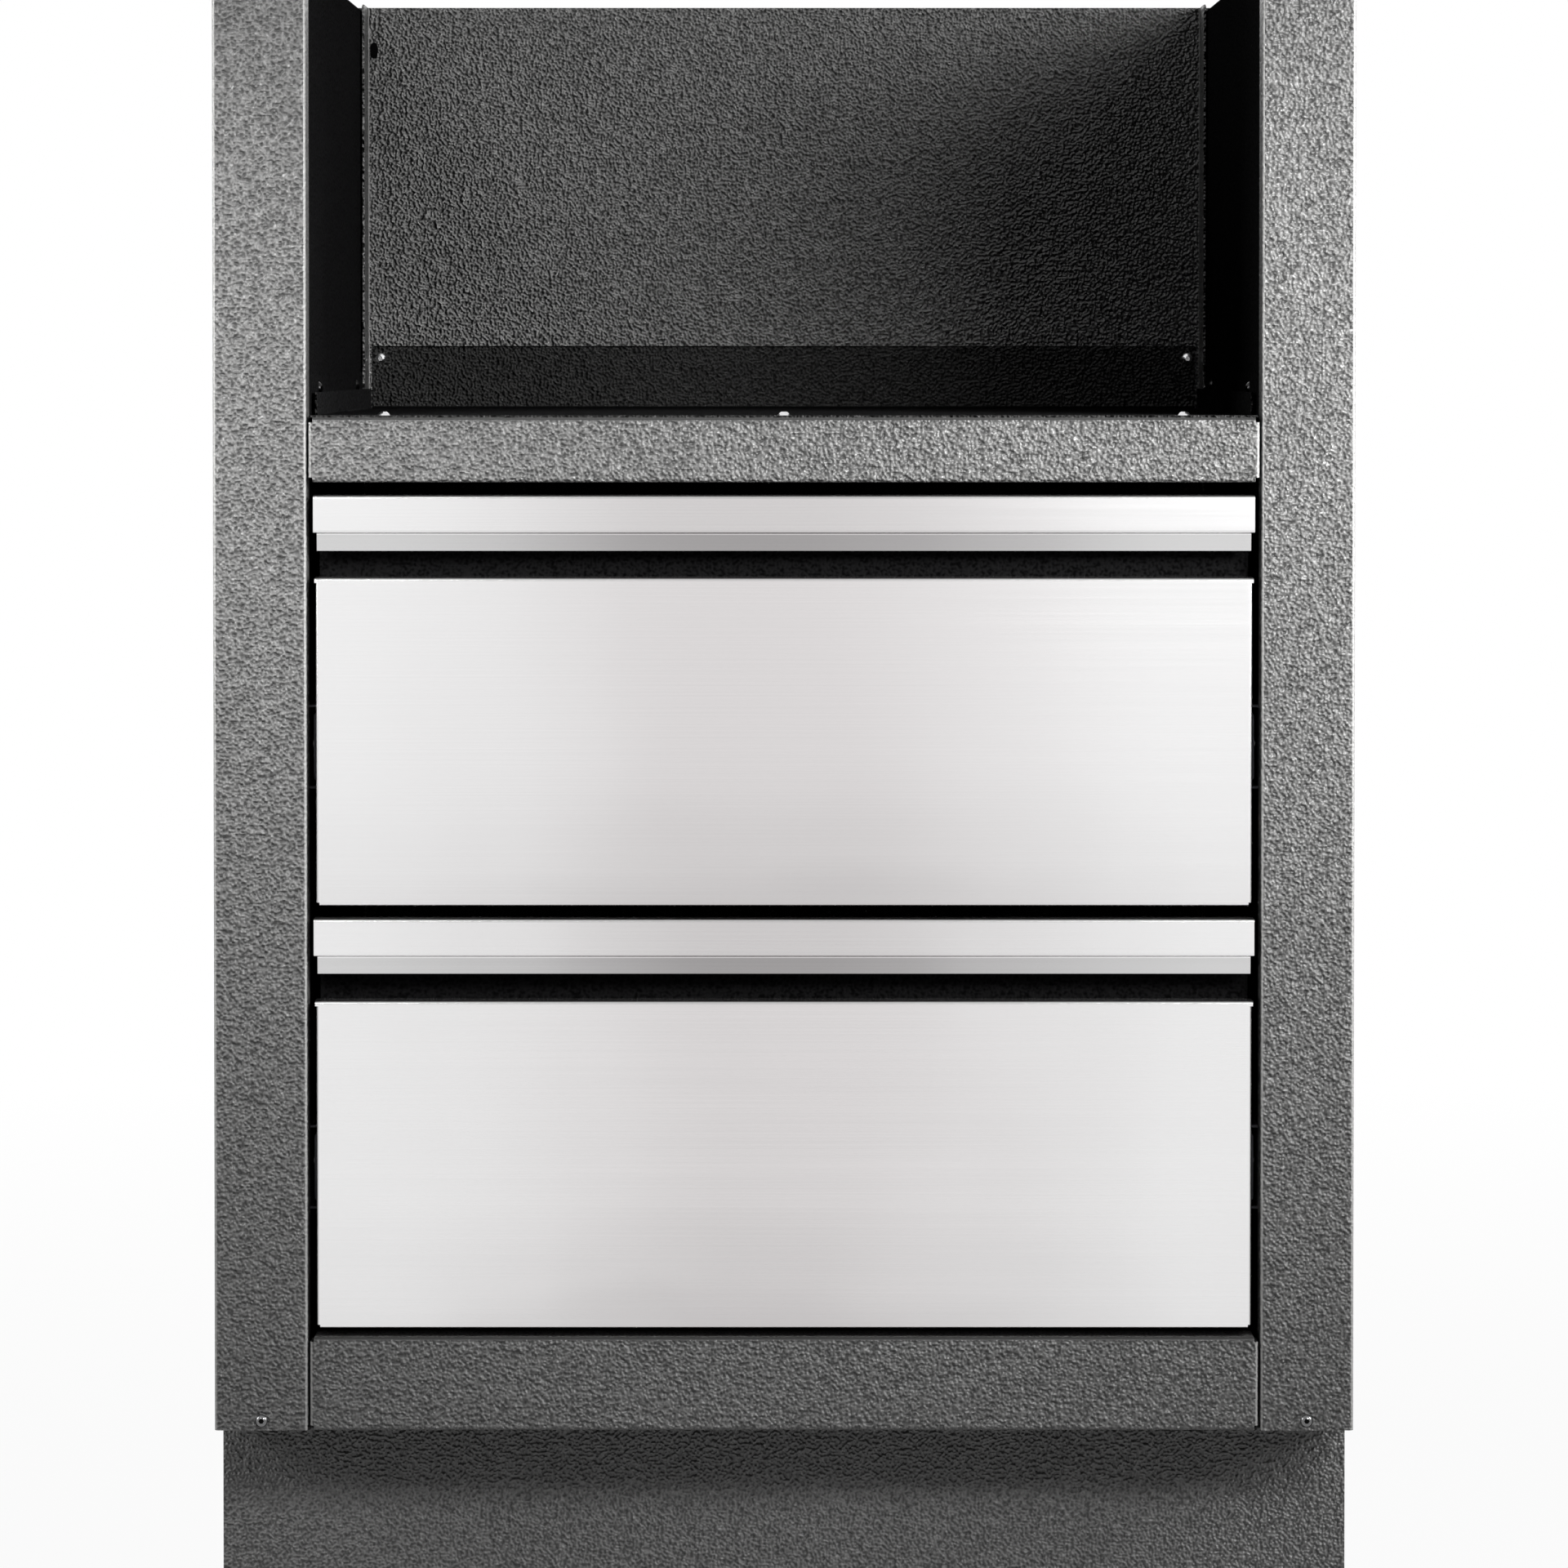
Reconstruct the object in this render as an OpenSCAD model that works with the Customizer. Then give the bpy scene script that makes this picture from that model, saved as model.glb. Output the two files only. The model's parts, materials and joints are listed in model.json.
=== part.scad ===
// Outdoor kitchen cabinet module: a folded sheet-steel carcass on a plinth with levelling feet,
// an open bay at the top for a drop-in burner, and two drawers on ball-bearing runners.
// Width runs along X, the front faces -Y, Z is up, and the origin is on the ground at the middle.

/* [Carcass] */
// Width over the two side panels
module_w = 610; // [560:5:700]
// Depth from the front faces to the back
module_d = 600; // [590:5:680]
// Thickness of the painted steel sheet
sheet_t = 1.2; // [1:0.1:1.4]
// Inside radius of the bends in the painted sheet
bend_r = 1; // [0.7:0.1:1.2]
// Width of a post on the front and on the back
post_w = 50; // [46:1:60]
// Depth of the return folded in behind a post
post_return = 25; // [18:1:28]
// Width of the flange at the top of a side panel
top_flange = 44; // [20:1:44]
// Width of the flange at the foot of a side panel
foot_flange = 25; // [20:1:35]
// Clearance between folded pieces that lie inside each other
seam = 0.2; // [0.1:0.05:0.3]
// How far the liners stop short of the top
liner_drop = 3; // [2:0.5:6]

/* [Heights from the ground up] */
// Height of the plinth
plinth_h = 102; // [90:1:130]
// Height of the bottom rail
bottom_rail_h = 50; // [40:1:70]
// Gap between the bottom rail and the lower drawer front
sill_gap = 5; // [4:0.5:8]
// Height of a drawer front with its handle
front_h = 219.5; // [215:0.5:240]
// Gap above a drawer front
front_gap = 7; // [5:0.5:10]
// Height of the middle rail
middle_rail_h = 34.5; // [30:0.5:50]
// Height of the burner bay above the middle rail
bay_h = 245.5; // [200:0.5:280]

/* [Rails and bay] */
// Gap between the end of a rail and the post
rail_gap = 1; // [0.6:0.1:1.5]
// Depth of the flanges of a rail
rail_depth = 30; // [24:1:36]
// Gap between the bay floor and the front face
floor_setback = 3; // [2:0.5:5]
// Gap between the side edges of the bay floor and the post returns
floor_side_gap = 2; // [1.5:0.1:3]
// Height of the rear upstand of the bay floor
rear_upstand_h = 39.5; // [30:0.5:50]
// Height of the side upstands of the bay floor
side_upstand_h = 13.5; // [10:0.5:16]
// Distance from the front face to the start of the side upstands
side_upstand_start = 46; // [40:1:60]
// Width of the flanges of the bay back panel
back_flange = 45; // [30:1:50]
// Width of the flanges of the lower back panel
lower_back_flange = 20; // [15:1:25]
// Height of the upright leg of a floor angle
angle_h = 24.7; // [20:0.1:30]
// Width of the level leg of a floor angle
angle_w = 20.2; // [15:0.1:30]
// Height of the slot in the bay back panel
back_slot_h = 8.2; // [7:0.2:14]
// Width of the slot in the bay back panel
back_slot_w = 3; // [3:0.2:3.6]
// Distance from the top edge to the middle of the slot
back_slot_down = 26; // [18:1:40]
// Distance from the side edge to the middle of the slot
back_slot_in = 4.8; // [4.8:0.2:12]
// How far the head of the slot plug reaches past the slot
plug_lip = 0.6; // [0.4:0.1:0.8]
// Height of the head of the slot plug
plug_head_h = 0.8; // [0.6:0.1:1.2]

/* [Joining holes in the sides] */
// Diameter of the holes that join two modules
join_d = 7; // [6:0.5:9]
// Diameter of the access hole in the liner behind each of them
access_d = 18; // [14:1:22]
// Distance between the holes from front to back
join_y = 480; // [400:10:490]
// Height of the lower holes above the ground
join_z_low = 130; // [122:1:135]
// Distance from the top of the middle rail down to the upper holes
join_drop = 19.5; // [14:0.5:22]

/* [Plinth and feet] */
// Distance from the front face back to the toe kick
toe_recess = 50; // [40:1:70]
// Gap between the plinth and the side of the cabinet
plinth_inset = 1; // [0.5:0.5:3]
// Gap between the back of the plinth and the back of the cabinet
plinth_rear_inset = 2; // [1:0.5:6]
// Height of the lower edge of the plinth above the ground
plinth_up = 12; // [11:0.5:20]
// Width of the upper flange of the plinth
plinth_flange = 25; // [20:1:30]
// Width of the lower flange of the plinth
plinth_lip = 15; // [12:1:20]
// Thickness of a foot plate
plate_t = 3; // [2:0.5:5]
// Length of the sides of a foot plate
plate_w = 75; // [65:1:90]
// Width left at the ends of the sides of a foot plate
plate_end = 18; // [12:1:24]
// Distance from the faces of the plinth to the middle of a foot
foot_inset = 36; // [34:1:42]
// Diameter of the stud of a foot
stud_d = 10; // [8:1:12]
// Radial clearance of the stud in its nut
stud_play = 0.06; // [0.03:0.01:0.09]
// Height of the nut on a foot plate
nut_h = 8; // [6:1:12]
// How far the corners of the nut stand out past the stud
nut_w = 4.5; // [3.5:0.5:6]
// Diameter of the pad of a foot
pad_d = 38; // [30:1:44]
// Height of the upright rim of the pad
pad_rim_h = 3; // [2:0.5:4]
// Height and width of the shoulder above the rim
pad_shoulder = 1.5; // [1:0.5:2]
// Height of the boss on the pad
boss_h = 6.5; // [6:0.5:7]
// Height of the hexagon above the boss
foot_hex_h = 3.5; // [3:0.5:4]
// How far the corners of the hexagon stand out past the stud
foot_hex_w = 3.5; // [3:0.5:5]
// How far a foot screws out
foot_travel = 20; // [10:1:25]

/* [Drawers] */
// Thickness of the stainless sheet
steel_t = 1; // [0.8:0.1:1.2]
// Inside radius of the bends in the stainless sheet
steel_r = 0.8; // [0.5:0.1:1]
// Gap between a drawer front and each post
front_side_gap = 3.5; // [2.5:0.1:5]
// Height of the stainless face below the finger gap
face_h = 175.5; // [165:0.5:180]
// Depth of the drawer front from its face to the inner front
front_depth = 18.8; // [16:0.1:24]
// How much narrower the face is at each side than the handle
face_inset = 1.3; // [0.8:0.1:2.5]
// Height of the top edge of the face that stands proud at each side
hem_h = 2.8; // [2.5:0.1:4]
// Width of the returns behind the face
face_return = 26; // [22:1:30]
// Height of the band of the handle
band_h = 20.3; // [18:0.1:24]
// Step back from the band to the strip below it
strip_step = 4.5; // [3.5:0.1:6]
// Height of the strip below the band
strip_h = 9.4; // [7:0.1:11]
// How much narrower the strip is at each side than the band
strip_inset = 1.75; // [1:0.05:3]
// How far the strip leans back at its foot
strip_lean = 1; // [0:0.1:2]
// Height of the tab of the handle behind its top
handle_tab_h = 13.5; // [12:0.5:16]
// Height of the drawer box
box_h = 170; // [140:1:176]
// Height of the underside of the box above the foot of the front
box_up = 18; // [12:1:24]
// Width of the folded flanges of the box
box_flange = 12.5; // [12:0.5:18]
// Height of the folded hem along the top of the box
box_hem = 10; // [6:1:14]
// How much lower the back of the box is than its sides
box_back_drop = 20; // [5:1:40]

/* [Ball-bearing runners] */
// Length of the runners
runner_len = 500; // [450:10:500]
// Thickness of a closed runner
runner_t = 12.7; // [12.7:0.1:14]
// Height of a runner
runner_h = 45; // [43:0.5:48]
// Thickness of the runner members
member_t = 1.2; // [1.1:0.05:1.3]
// Inside radius of the bends of the members
member_r = 0.6; // [0.4:0.1:0.7]
// Diameter of the balls
ball_d = 4; // [3.8:0.1:4.2]
// Clearance of the balls in their grooves and cages
ball_play = 0.1; // [0.06:0.01:0.12]
// Depth of the ball grooves
groove = 0.5; // [0.4:0.05:0.6]
// Thickness of the ball cages
cage_t = 0.6; // [0.5:0.05:0.7]
// Distance from the wall to the outer row of balls
outer_row = 6.5; // [6.4:0.05:6.6]
// Distance from the wall to the inner row of balls
inner_row = 8.2; // [8.15:0.05:8.3]
// Distance from the wall to the web of the outer cage
outer_cage_at = 1.9; // [1.85:0.05:2]
// Distance from the wall to the web of the middle member
middle_at = 3.4; // [3.3:0.05:3.5]
// Distance from the wall to the web of the inner cage
inner_cage_at = 5.3; // [5.2:0.05:5.35]
// How far the flanges of the outer member reach past the outer balls
outer_past = 3.5; // [3:0.1:3.6]
// How far the flanges of the middle member reach past the inner balls
middle_past = 2.5; // [2.3:0.1:2.6]
// Length of the mounting slots in the runners
web_slot_l = 10; // [8:1:14]
// Width of the mounting slots in the runners
web_slot_w = 4.6; // [4:0.2:6]
// Number of mounting slots along a runner
web_slots = 6; // [2:2:8]
// Number of balls in a row
balls = 5; // [3:1:8]
// Height of the middle of a runner above the foot of the front
runner_up = 84; // [80:1:110]
// Gap between the post return and the runner
runner_gap = 0.5; // [0.3:0.1:1]

/* [Screws] */
// Diameter of the screw shanks
shank_d = 4; // [3.5:0.1:4.5]
// Chamfer at the tip of a shank
shank_tip = 0.5; // [0.3:0.1:0.8]
// Clearance of the shanks in their holes
hole_play = 0.1; // [0.05:0.05:0.2]
// Diameter of the screw heads
head_d = 7; // [6:0.2:7.4]
// Height of the screw heads
head_h = 2.2; // [1.6:0.1:2.6]
// Width across the corners of the hexagon socket
socket_d = 3; // [2.4:0.2:3.4]
// Depth of the socket
socket_deep = 1.3; // [0.8:0.1:1.5]
// Diameter of the flat heads inside the runners
flat_head_d = 8; // [6:0.5:9]
// Thickness of the flat heads inside the runners
flat_head_h = 0.5; // [0.4:0.05:0.55]
// Height of the post screws above the foot of the posts
post_screw_up = 5.2; // [4.5:0.1:8]
// Length of the post screws below their heads
post_screw_len = 8; // [6:0.5:12]
// Distance of the outer floor screws from the sides of the bay floor
floor_screw_in = 39; // [33:1:100]
// Distance of the floor screws from the front face
floor_screw_y = 10; // [8:0.5:14]
// Length of the floor screws below their heads
floor_screw_len = 9; // [7:0.5:12]
// Distance of the rear screws from the ends of the rear upstand
rear_screw_in = 4.6; // [4.6:0.1:50]
// Height of the rear screws above the rail top
rear_screw_up = 31.8; // [20:0.1:33]
// Length of the rear screws below their heads
rear_screw_len = 4.5; // [4:0.5:6]
// Distance of the angle screws from the front face
angle_screw_y = 115; // [60:1:300]
// Height of the angle screws above the rail top
angle_screw_up = 15.5; // [15:0.1:18]
// Length of the angle screws below their heads
angle_screw_len = 7; // [6:0.5:10]
// Height of the lower face screws above the foot of a front
face_screw_low = 40; // [30:1:60]
// Height of the upper face screws above the foot of a front
face_screw_high = 140; // [100:1:150]
// Distance between the handle screws
handle_screw_step = 150; // [80:5:200]
// Distance of the first runner screw from the front end of a runner
runner_screw_front = 37; // [30:1:45]
// Distance of the last runner screw from the rear end of a runner
runner_screw_rear = 40; // [30:1:50]

/* [Hidden] */

$fn = 48;
// Number of flats in each bend
bend_steps = 4;
// Small overlap that lets a cut pass right through
cut = 1;
// Clearance between edges that only have to miss each other
clear = 0.3;
// Depth of a hole that passes through two sheets
hole_deep = 4 * sheet_t + cut;
screw_hole_d = shank_d + 2 * hole_play;

paint = [0.30, 0.30, 0.30];
dark_paint = [0.16, 0.16, 0.16];
stainless = [0.84, 0.84, 0.85];
zinc = [0.66, 0.67, 0.69];
black_zinc = [0.12, 0.12, 0.13];
plastic = [0.08, 0.08, 0.08];

half_w = module_w / 2;
front_y = -module_d / 2;
rear_y = module_d / 2;
bend_out = bend_r + sheet_t;
// Half the clear width between the post returns
open_x = half_w - post_w;
// Inner face of the side liners
liner_x = open_x + sheet_t;

// Heights of the main levels
floor_z = plinth_h + sheet_t;
floor_top_z = floor_z + sheet_t;
sill_z = plinth_h + bottom_rail_h;
lower_z = sill_z + sill_gap;
upper_z = lower_z + front_h + front_gap;
rail_z = upper_z + front_h + front_gap;
bay_z = rail_z + middle_rail_h;
top_z = bay_z + bay_h;

// Outer faces of the pieces that lie inside the carcass
rail_x = open_x - rail_gap;
back_x = open_x - seam;
bay_floor_x = open_x - floor_side_gap;
bottom_panel_x = half_w - bend_out - clear;
tab_y = front_y + sheet_t + seam;
tab_h = 13;
// Distance of a tab behind a post from the edges of the post
post_tab_in = 7;
// Relief left open beside the bends where three sheets meet
relief = 5;
upstand_r = 2.5;
upstand_y = rear_y - sheet_t - seam;
rear_upstand_x = bay_floor_x - bend_out;
floor_screw_x = bay_floor_x - floor_screw_in;
rear_screw_x = rear_upstand_x - rear_screw_in;
slot_x = back_slot_in - back_x;
slot_z = top_z - back_slot_down;
angle_y = front_y + post_return + cut;
angle_rear_y = rear_y - back_flange - cut;
join_z_high = bay_z - join_drop;
post_screw_x = half_w - post_w / 2;

// Plinth and feet
plinth_x = half_w - plinth_inset;
toe_y = front_y + toe_recess;
plinth_rear_y = rear_y - plinth_rear_inset;
plate_z = plinth_up + sheet_t;
foot_x = plinth_x - foot_inset;
foot_front_y = toe_y + foot_inset;
foot_rear_y = plinth_rear_y - foot_inset;
nut_r = stud_d / 2 + nut_w;
foot_hex_r = stud_d / 2 + foot_hex_w;
// How far the stud still stands out of the nut when the foot is screwed right out
stud_spare = 4;
stud_top = plate_z + plate_t + nut_h + foot_travel + stud_spare;
// Chamfers at the lower edge of the pad and at the top of the stud
pad_edge = 0.5;
stud_tip = 1;
// How far the boss on the pad stands out past the stud, at its foot and at its neck
boss_w = 5;
neck_w = 3;

// Drawers, measured from the foot of the drawer front
handle_x = open_x - front_side_gap;
face_x = handle_x - face_inset;
steel_out = steel_r + steel_t;
// How far the top edge of the face stands out past its sides
hem_proud = face_inset / 2;
// How much narrower and how much higher at its foot the inner front is than the front
inner_front_in = 2.5;
inner_front_up = 4;
inner_y = front_y + front_depth;
inner_front_x = handle_x - inner_front_in;
box_x = liner_x - runner_t;
box_front_y = inner_y + sheet_t;
box_top = box_up + box_h;
runner_y = front_y + post_return + runner_gap;
box_rear_y = runner_y + runner_len;
bottom_sheet_z = box_up + sheet_t;
face_screw_x = box_x - box_flange / 2;
face_screw_z = [face_screw_low, face_screw_high];
handle_screw_x = [-handle_screw_step, 0, handle_screw_step];
handle_screw_z = front_h - steel_t - handle_tab_h / 2;
runner_screw_y = [runner_screw_front, runner_len / 2, runner_len - runner_screw_rear];

// Runner section: u runs from the wall inwards, w up and down from the middle
outer_ball_w = runner_h / 2 - member_t + groove - ball_play - ball_d / 2;
middle_w = outer_ball_w - ball_d / 2 - ball_play + groove;
inner_ball_w = middle_w - member_t + groove - ball_play - ball_d / 2;
inner_w = inner_ball_w - ball_d / 2 - ball_play + groove;
outer_lip = outer_row + outer_past;
middle_lip = inner_row + middle_past;
inner_lip = inner_cage_at + cage_t + clear;
// How much shorter the flanges of the outer cage are than those of the outer member
outer_cage_short = 0.4;
outer_cage_lip = outer_lip - outer_cage_short;
inner_cage_lip = middle_lip + clear;
cage_len = runner_len / 2;
cage_start = runner_len / 4;
cage_r = 0.4;
// Distance from the end of a cage to its first ball
cage_end = 10;
ball_step = (cage_len - 2 * cage_end) / (balls - 1);

// Unit vector along v
function unit(v) = v / norm(v);
// Vector to the left of v
function left_of(v) = [-v[1], v[0]];
// Vector v turned by q degrees
function turned(v, q) = [v[0] * cos(q) - v[1] * sin(q), v[0] * sin(q) + v[1] * cos(q)];
// Angle from direction a to direction b, positive to the left
function turn(a, b) = atan2(a[0] * b[1] - a[1] * b[0], a * b);
// Points of one bend at corner p, on the outer face (side 0) or on the inner face (side 1)
function bend(p, a, b, t, r, side) =
  let (
    q = turn(a, b),
    s = sign(q),
    outer = s > 0 ? r + t : r,
    middle = p - a * outer * tan(abs(q) / 2) + s * left_of(a) * outer
  )
  [for (k = [0 : bend_steps])
    middle - s * turned(left_of(a), q * k / bend_steps) * (outer - s * side * t)];
// One face of a folded sheet whose outer face follows path, with the sheet on its left
function sheet_face(path, t, r, side) =
  let (n = len(path) - 1, first = unit(path[1] - path[0]), last = unit(path[n] - path[n - 1]))
  [
    path[0] + side * t * left_of(first),
    for (i = [1 : 1 : n - 1])
      each bend(path[i], unit(path[i] - path[i - 1]), unit(path[i + 1] - path[i]), t, r, side),
    path[n] + side * t * left_of(last)
  ];
// The same points in the opposite order
function reversed(points) = [for (i = [len(points) - 1 : -1 : 0]) points[i]];

// Section of a folded sheet
module sheet(path, t = sheet_t, r = bend_r) {
  polygon(concat(sheet_face(path, t, r, 0), reversed(sheet_face(path, t, r, 1))));
}

// A section drawn in Y and Z, drawn out along X
module along_x(x0, x1) {
  translate([x0, 0, 0]) rotate([90, 0, 90]) linear_extrude(x1 - x0) children();
}

// A section drawn in X and Z, drawn out along Y
module along_y(y0, y1) {
  translate([0, y1, 0]) rotate([90, 0, 0]) linear_extrude(y1 - y0) children();
}

// A plan drawn in X and Y, drawn out along Z
module along_z(z0, z1) {
  translate([0, 0, z0]) linear_extrude(z1 - z0) children();
}

// A block between two corners
module block(low, high) {
  translate(low) cube(high - low);
}

// The children and their mirror image across the middle
module both_sides() {
  children();
  mirror([1, 0, 0]) children();
}

// The children at the front and mirrored at the back
module front_and_back() {
  children();
  mirror([0, 1, 0]) children();
}

// Round hole along X, Y or Z
module hole_x(at, d, depth) {
  translate(at) rotate([0, 90, 0]) cylinder(d = d, h = depth, center = true);
}

module hole_y(at, d, depth) {
  translate(at) rotate([90, 0, 0]) cylinder(d = d, h = depth, center = true);
}

module hole_z(at, d, depth) {
  translate(at) cylinder(d = d, h = depth, center = true);
}

// Upright bar with round ends, from y0 to y1
module round_ended(x, z, w, h, y0, y1) {
  half = (h - w) / 2;
  for (end = [-half, half])
    translate([x, y1, z + end]) rotate([90, 0, 0]) cylinder(d = w, h = y1 - y0);
  block([x - w / 2, y0, z - half], [x + w / 2, y1, z + half]);
}

// Domed screw with a hexagon socket: the head stands up from Z = 0, the shank goes down
module screw(reach) {
  dome_r = (head_d * head_d / 4 + head_h * head_h) / (2 * head_h);
  dome_a = asin(head_d / 2 / dome_r);
  difference() {
    rotate_extrude() polygon([
      [0, -reach],
      [shank_d / 2 - shank_tip, -reach],
      [shank_d / 2, shank_tip - reach],
      [shank_d / 2, 0],
      for (k = [0 : bend_steps])
        dome_r * [sin(dome_a * (1 - k / bend_steps)), cos(dome_a * (1 - k / bend_steps)) - 1]
          + [0, head_h]
    ]);
    translate([0, 0, head_h - socket_deep]) cylinder(d = socket_d, h = socket_deep + cut, $fn = 6);
  }
}

// Post, folded from the front flange, its return and a strip of the side
module right_post() {
  difference() {
    along_z(plinth_h, top_z) sheet([
      [open_x, front_y + post_return],
      [open_x, front_y],
      [half_w, front_y],
      [half_w, front_y + 2 * relief]
    ]);
    block(
      [open_x - cut, front_y + sheet_t, plinth_h - cut],
      [open_x + sheet_t + bend_r, front_y + post_return + cut, floor_top_z + clear]
    );
  }
}

module side_panel() {
  difference() {
    union() {
      front_and_back() right_post();
      along_y(front_y + relief, rear_y - relief) sheet([
        [half_w - foot_flange, plinth_h],
        [half_w, plinth_h],
        [half_w, top_z],
        [half_w - top_flange, top_z]
      ]);
    }
    for (y = [-join_y / 2, join_y / 2], z = [join_z_low, join_z_high])
      hole_x([half_w - sheet_t / 2, y, z], join_d, hole_deep);
    hole_y([post_screw_x, front_y, plinth_h + post_screw_up], screw_hole_d, hole_deep);
  }
}

module left_side_panel() {
  color(paint) mirror([1, 0, 0]) side_panel();
}

module right_side_panel() {
  color(paint) side_panel();
}

// Flat sheet that closes the inside of a side panel and carries the runners
module liner() {
  end_gap = bend_out + clear;
  difference() {
    block(
      [liner_x, front_y + end_gap, floor_top_z + clear],
      [liner_x + sheet_t, rear_y - end_gap, top_z - liner_drop]
    );
    for (z = [lower_z, upper_z], y = runner_screw_y)
      hole_x([liner_x, runner_y + y, z + runner_up], screw_hole_d, hole_deep);
    for (y = [-join_y / 2, join_y / 2], z = [join_z_low, join_z_high])
      hole_x([liner_x, y, z], access_d, hole_deep);
    for (y = [front_y + angle_screw_y, rear_y - angle_screw_y])
      hole_x([liner_x, y, bay_z + angle_screw_up], screw_hole_d, hole_deep);
  }
}

module left_liner() {
  color(dark_paint) mirror([1, 0, 0]) liner();
}

module right_liner() {
  color(dark_paint) liner();
}

// Plan of a back panel with its flanges turned forwards
module back_plan(flange) {
  sheet([
    [back_x, rear_y - flange],
    [back_x, rear_y],
    [-back_x, rear_y],
    [-back_x, rear_y - flange]
  ]);
}

module bay_back_panel() {
  color(paint) difference() {
    along_z(rail_z + clear, top_z) back_plan(back_flange);
    for (x = [-rear_screw_x, rear_screw_x])
      hole_y([x, rear_y, bay_z + rear_screw_up], screw_hole_d, hole_deep);
    round_ended(slot_x, slot_z, back_slot_w, back_slot_h, rear_y - sheet_t - cut, rear_y + cut);
  }
}

// Plug pressed into the slot from inside the bay
module slot_plug() {
  inner_face = rear_y - sheet_t;
  color(plastic) {
    round_ended(slot_x, slot_z, back_slot_w + 2 * plug_lip, back_slot_h + 2 * plug_lip,
      inner_face - plug_head_h, inner_face);
    round_ended(slot_x, slot_z, back_slot_w - 2 * hole_play, back_slot_h - 2 * hole_play,
      inner_face - plug_head_h / 2, rear_y);
  }
}

module lower_back_panel() {
  color(paint) along_z(floor_top_z + clear, rail_z) back_plan(lower_back_flange);
}

// Rail between the posts, folded back along its top, foot and ends
module rail(z0, z1) {
  along_x(bend_out - rail_x, rail_x - bend_out) sheet([
    [front_y + rail_depth, z1],
    [front_y, z1],
    [front_y, z0],
    [front_y + rail_depth, z0]
  ]);
  both_sides() along_z(z0 + bend_out + clear, z1 - bend_out - clear) sheet([
    [rail_x - 2 * relief, front_y],
    [rail_x, front_y],
    [rail_x, front_y + rail_depth - 2 * relief]
  ]);
}

module middle_rail() {
  color(paint) difference() {
    rail(rail_z, bay_z);
    for (x = [-floor_screw_x, 0, floor_screw_x])
      hole_z([x, front_y + floor_screw_y, bay_z], screw_hole_d, hole_deep);
  }
}

module bottom_rail() {
  color(paint) rail(plinth_h, sill_z);
}

module bay_floor() {
  color(paint) difference() {
    union() {
      along_x(-rear_upstand_x, rear_upstand_x) sheet([
        [front_y + floor_setback, bay_z],
        [upstand_y, bay_z],
        [upstand_y, bay_z + rear_upstand_h]
      ], r = upstand_r);
      both_sides() along_y(front_y + side_upstand_start, upstand_y - sheet_t - upstand_r) sheet([
        [rear_upstand_x - relief, bay_z],
        [bay_floor_x, bay_z],
        [bay_floor_x, bay_z + side_upstand_h]
      ]);
      block(
        [-bay_floor_x, front_y + floor_setback, bay_z],
        [bay_floor_x, front_y + side_upstand_start - clear, bay_z + sheet_t]
      );
    }
    for (x = [-floor_screw_x, 0, floor_screw_x])
      hole_z([x, front_y + floor_screw_y, bay_z], screw_hole_d, hole_deep);
    for (x = [-rear_screw_x, rear_screw_x])
      hole_y([x, upstand_y, bay_z + rear_screw_up], screw_hole_d, hole_deep);
  }
}

// Angle along the liner that the bay floor lies on
module floor_angle() {
  difference() {
    along_y(angle_y, angle_rear_y) sheet([
      [liner_x - angle_w, bay_z - sheet_t],
      [liner_x, bay_z - sheet_t],
      [liner_x, bay_z - sheet_t + angle_h]
    ]);
    block(
      [liner_x - angle_w - cut, angle_y - cut, bay_z - sheet_t - cut],
      [liner_x - sheet_t, front_y + rail_depth + clear, bay_z + bend_r]
    );
    for (y = [front_y + angle_screw_y, rear_y - angle_screw_y])
      hole_x([liner_x, y, bay_z + angle_screw_up], screw_hole_d, hole_deep);
  }
}

module left_floor_angle() {
  color(dark_paint) mirror([1, 0, 0]) floor_angle();
}

module right_floor_angle() {
  color(dark_paint) floor_angle();
}

// Section of a tab turned up along the front of the bottom panel
module panel_tab(x0, x1) {
  along_x(x0, x1) sheet([
    [tab_y, floor_z + tab_h],
    [tab_y, floor_z],
    [tab_y + 3 * relief, floor_z]
  ]);
}

module bottom_panel() {
  tab_x = post_w / 2 - post_tab_in;
  color(dark_paint) difference() {
    union() {
      block(
        [-bottom_panel_x, tab_y + bend_out, floor_z],
        [bottom_panel_x, -tab_y - bend_out, floor_top_z]
      );
      front_and_back() {
        panel_tab(relief - rail_x, rail_x - relief);
        both_sides() panel_tab(post_screw_x - tab_x, post_screw_x + tab_x);
      }
    }
    both_sides() hole_y([post_screw_x, tab_y, plinth_h + post_screw_up], screw_hole_d, hole_deep);
  }
}

// Front or rear side of the plinth, drawn at the front
module plinth_rail(y) {
  difference() {
    along_x(-plinth_x, plinth_x) sheet([
      [y + plinth_flange, plinth_h],
      [y, plinth_h],
      [y, plinth_up],
      [y + plinth_lip, plinth_up]
    ]);
    both_sides() {
      block(
        [plinth_x - plinth_flange - seam, y + sheet_t, plinth_h / 2],
        [plinth_x + cut, y + plinth_flange + cut, plinth_h + cut]
      );
      block(
        [plinth_x - plinth_lip - seam, y + sheet_t, plinth_up - cut],
        [plinth_x + cut, y + plinth_lip + cut, plinth_h / 2]
      );
    }
  }
}

module toe_kick() {
  color(paint) plinth_rail(toe_y);
}

module plinth_rear() {
  color(dark_paint) mirror([0, 1, 0]) plinth_rail(-plinth_rear_y);
}

module plinth_side() {
  along_y(toe_y + sheet_t + seam, plinth_rear_y - sheet_t - seam) sheet([
    [plinth_x - plinth_lip, plinth_up],
    [plinth_x, plinth_up],
    [plinth_x, plinth_h],
    [plinth_x - plinth_flange, plinth_h]
  ]);
}

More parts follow.
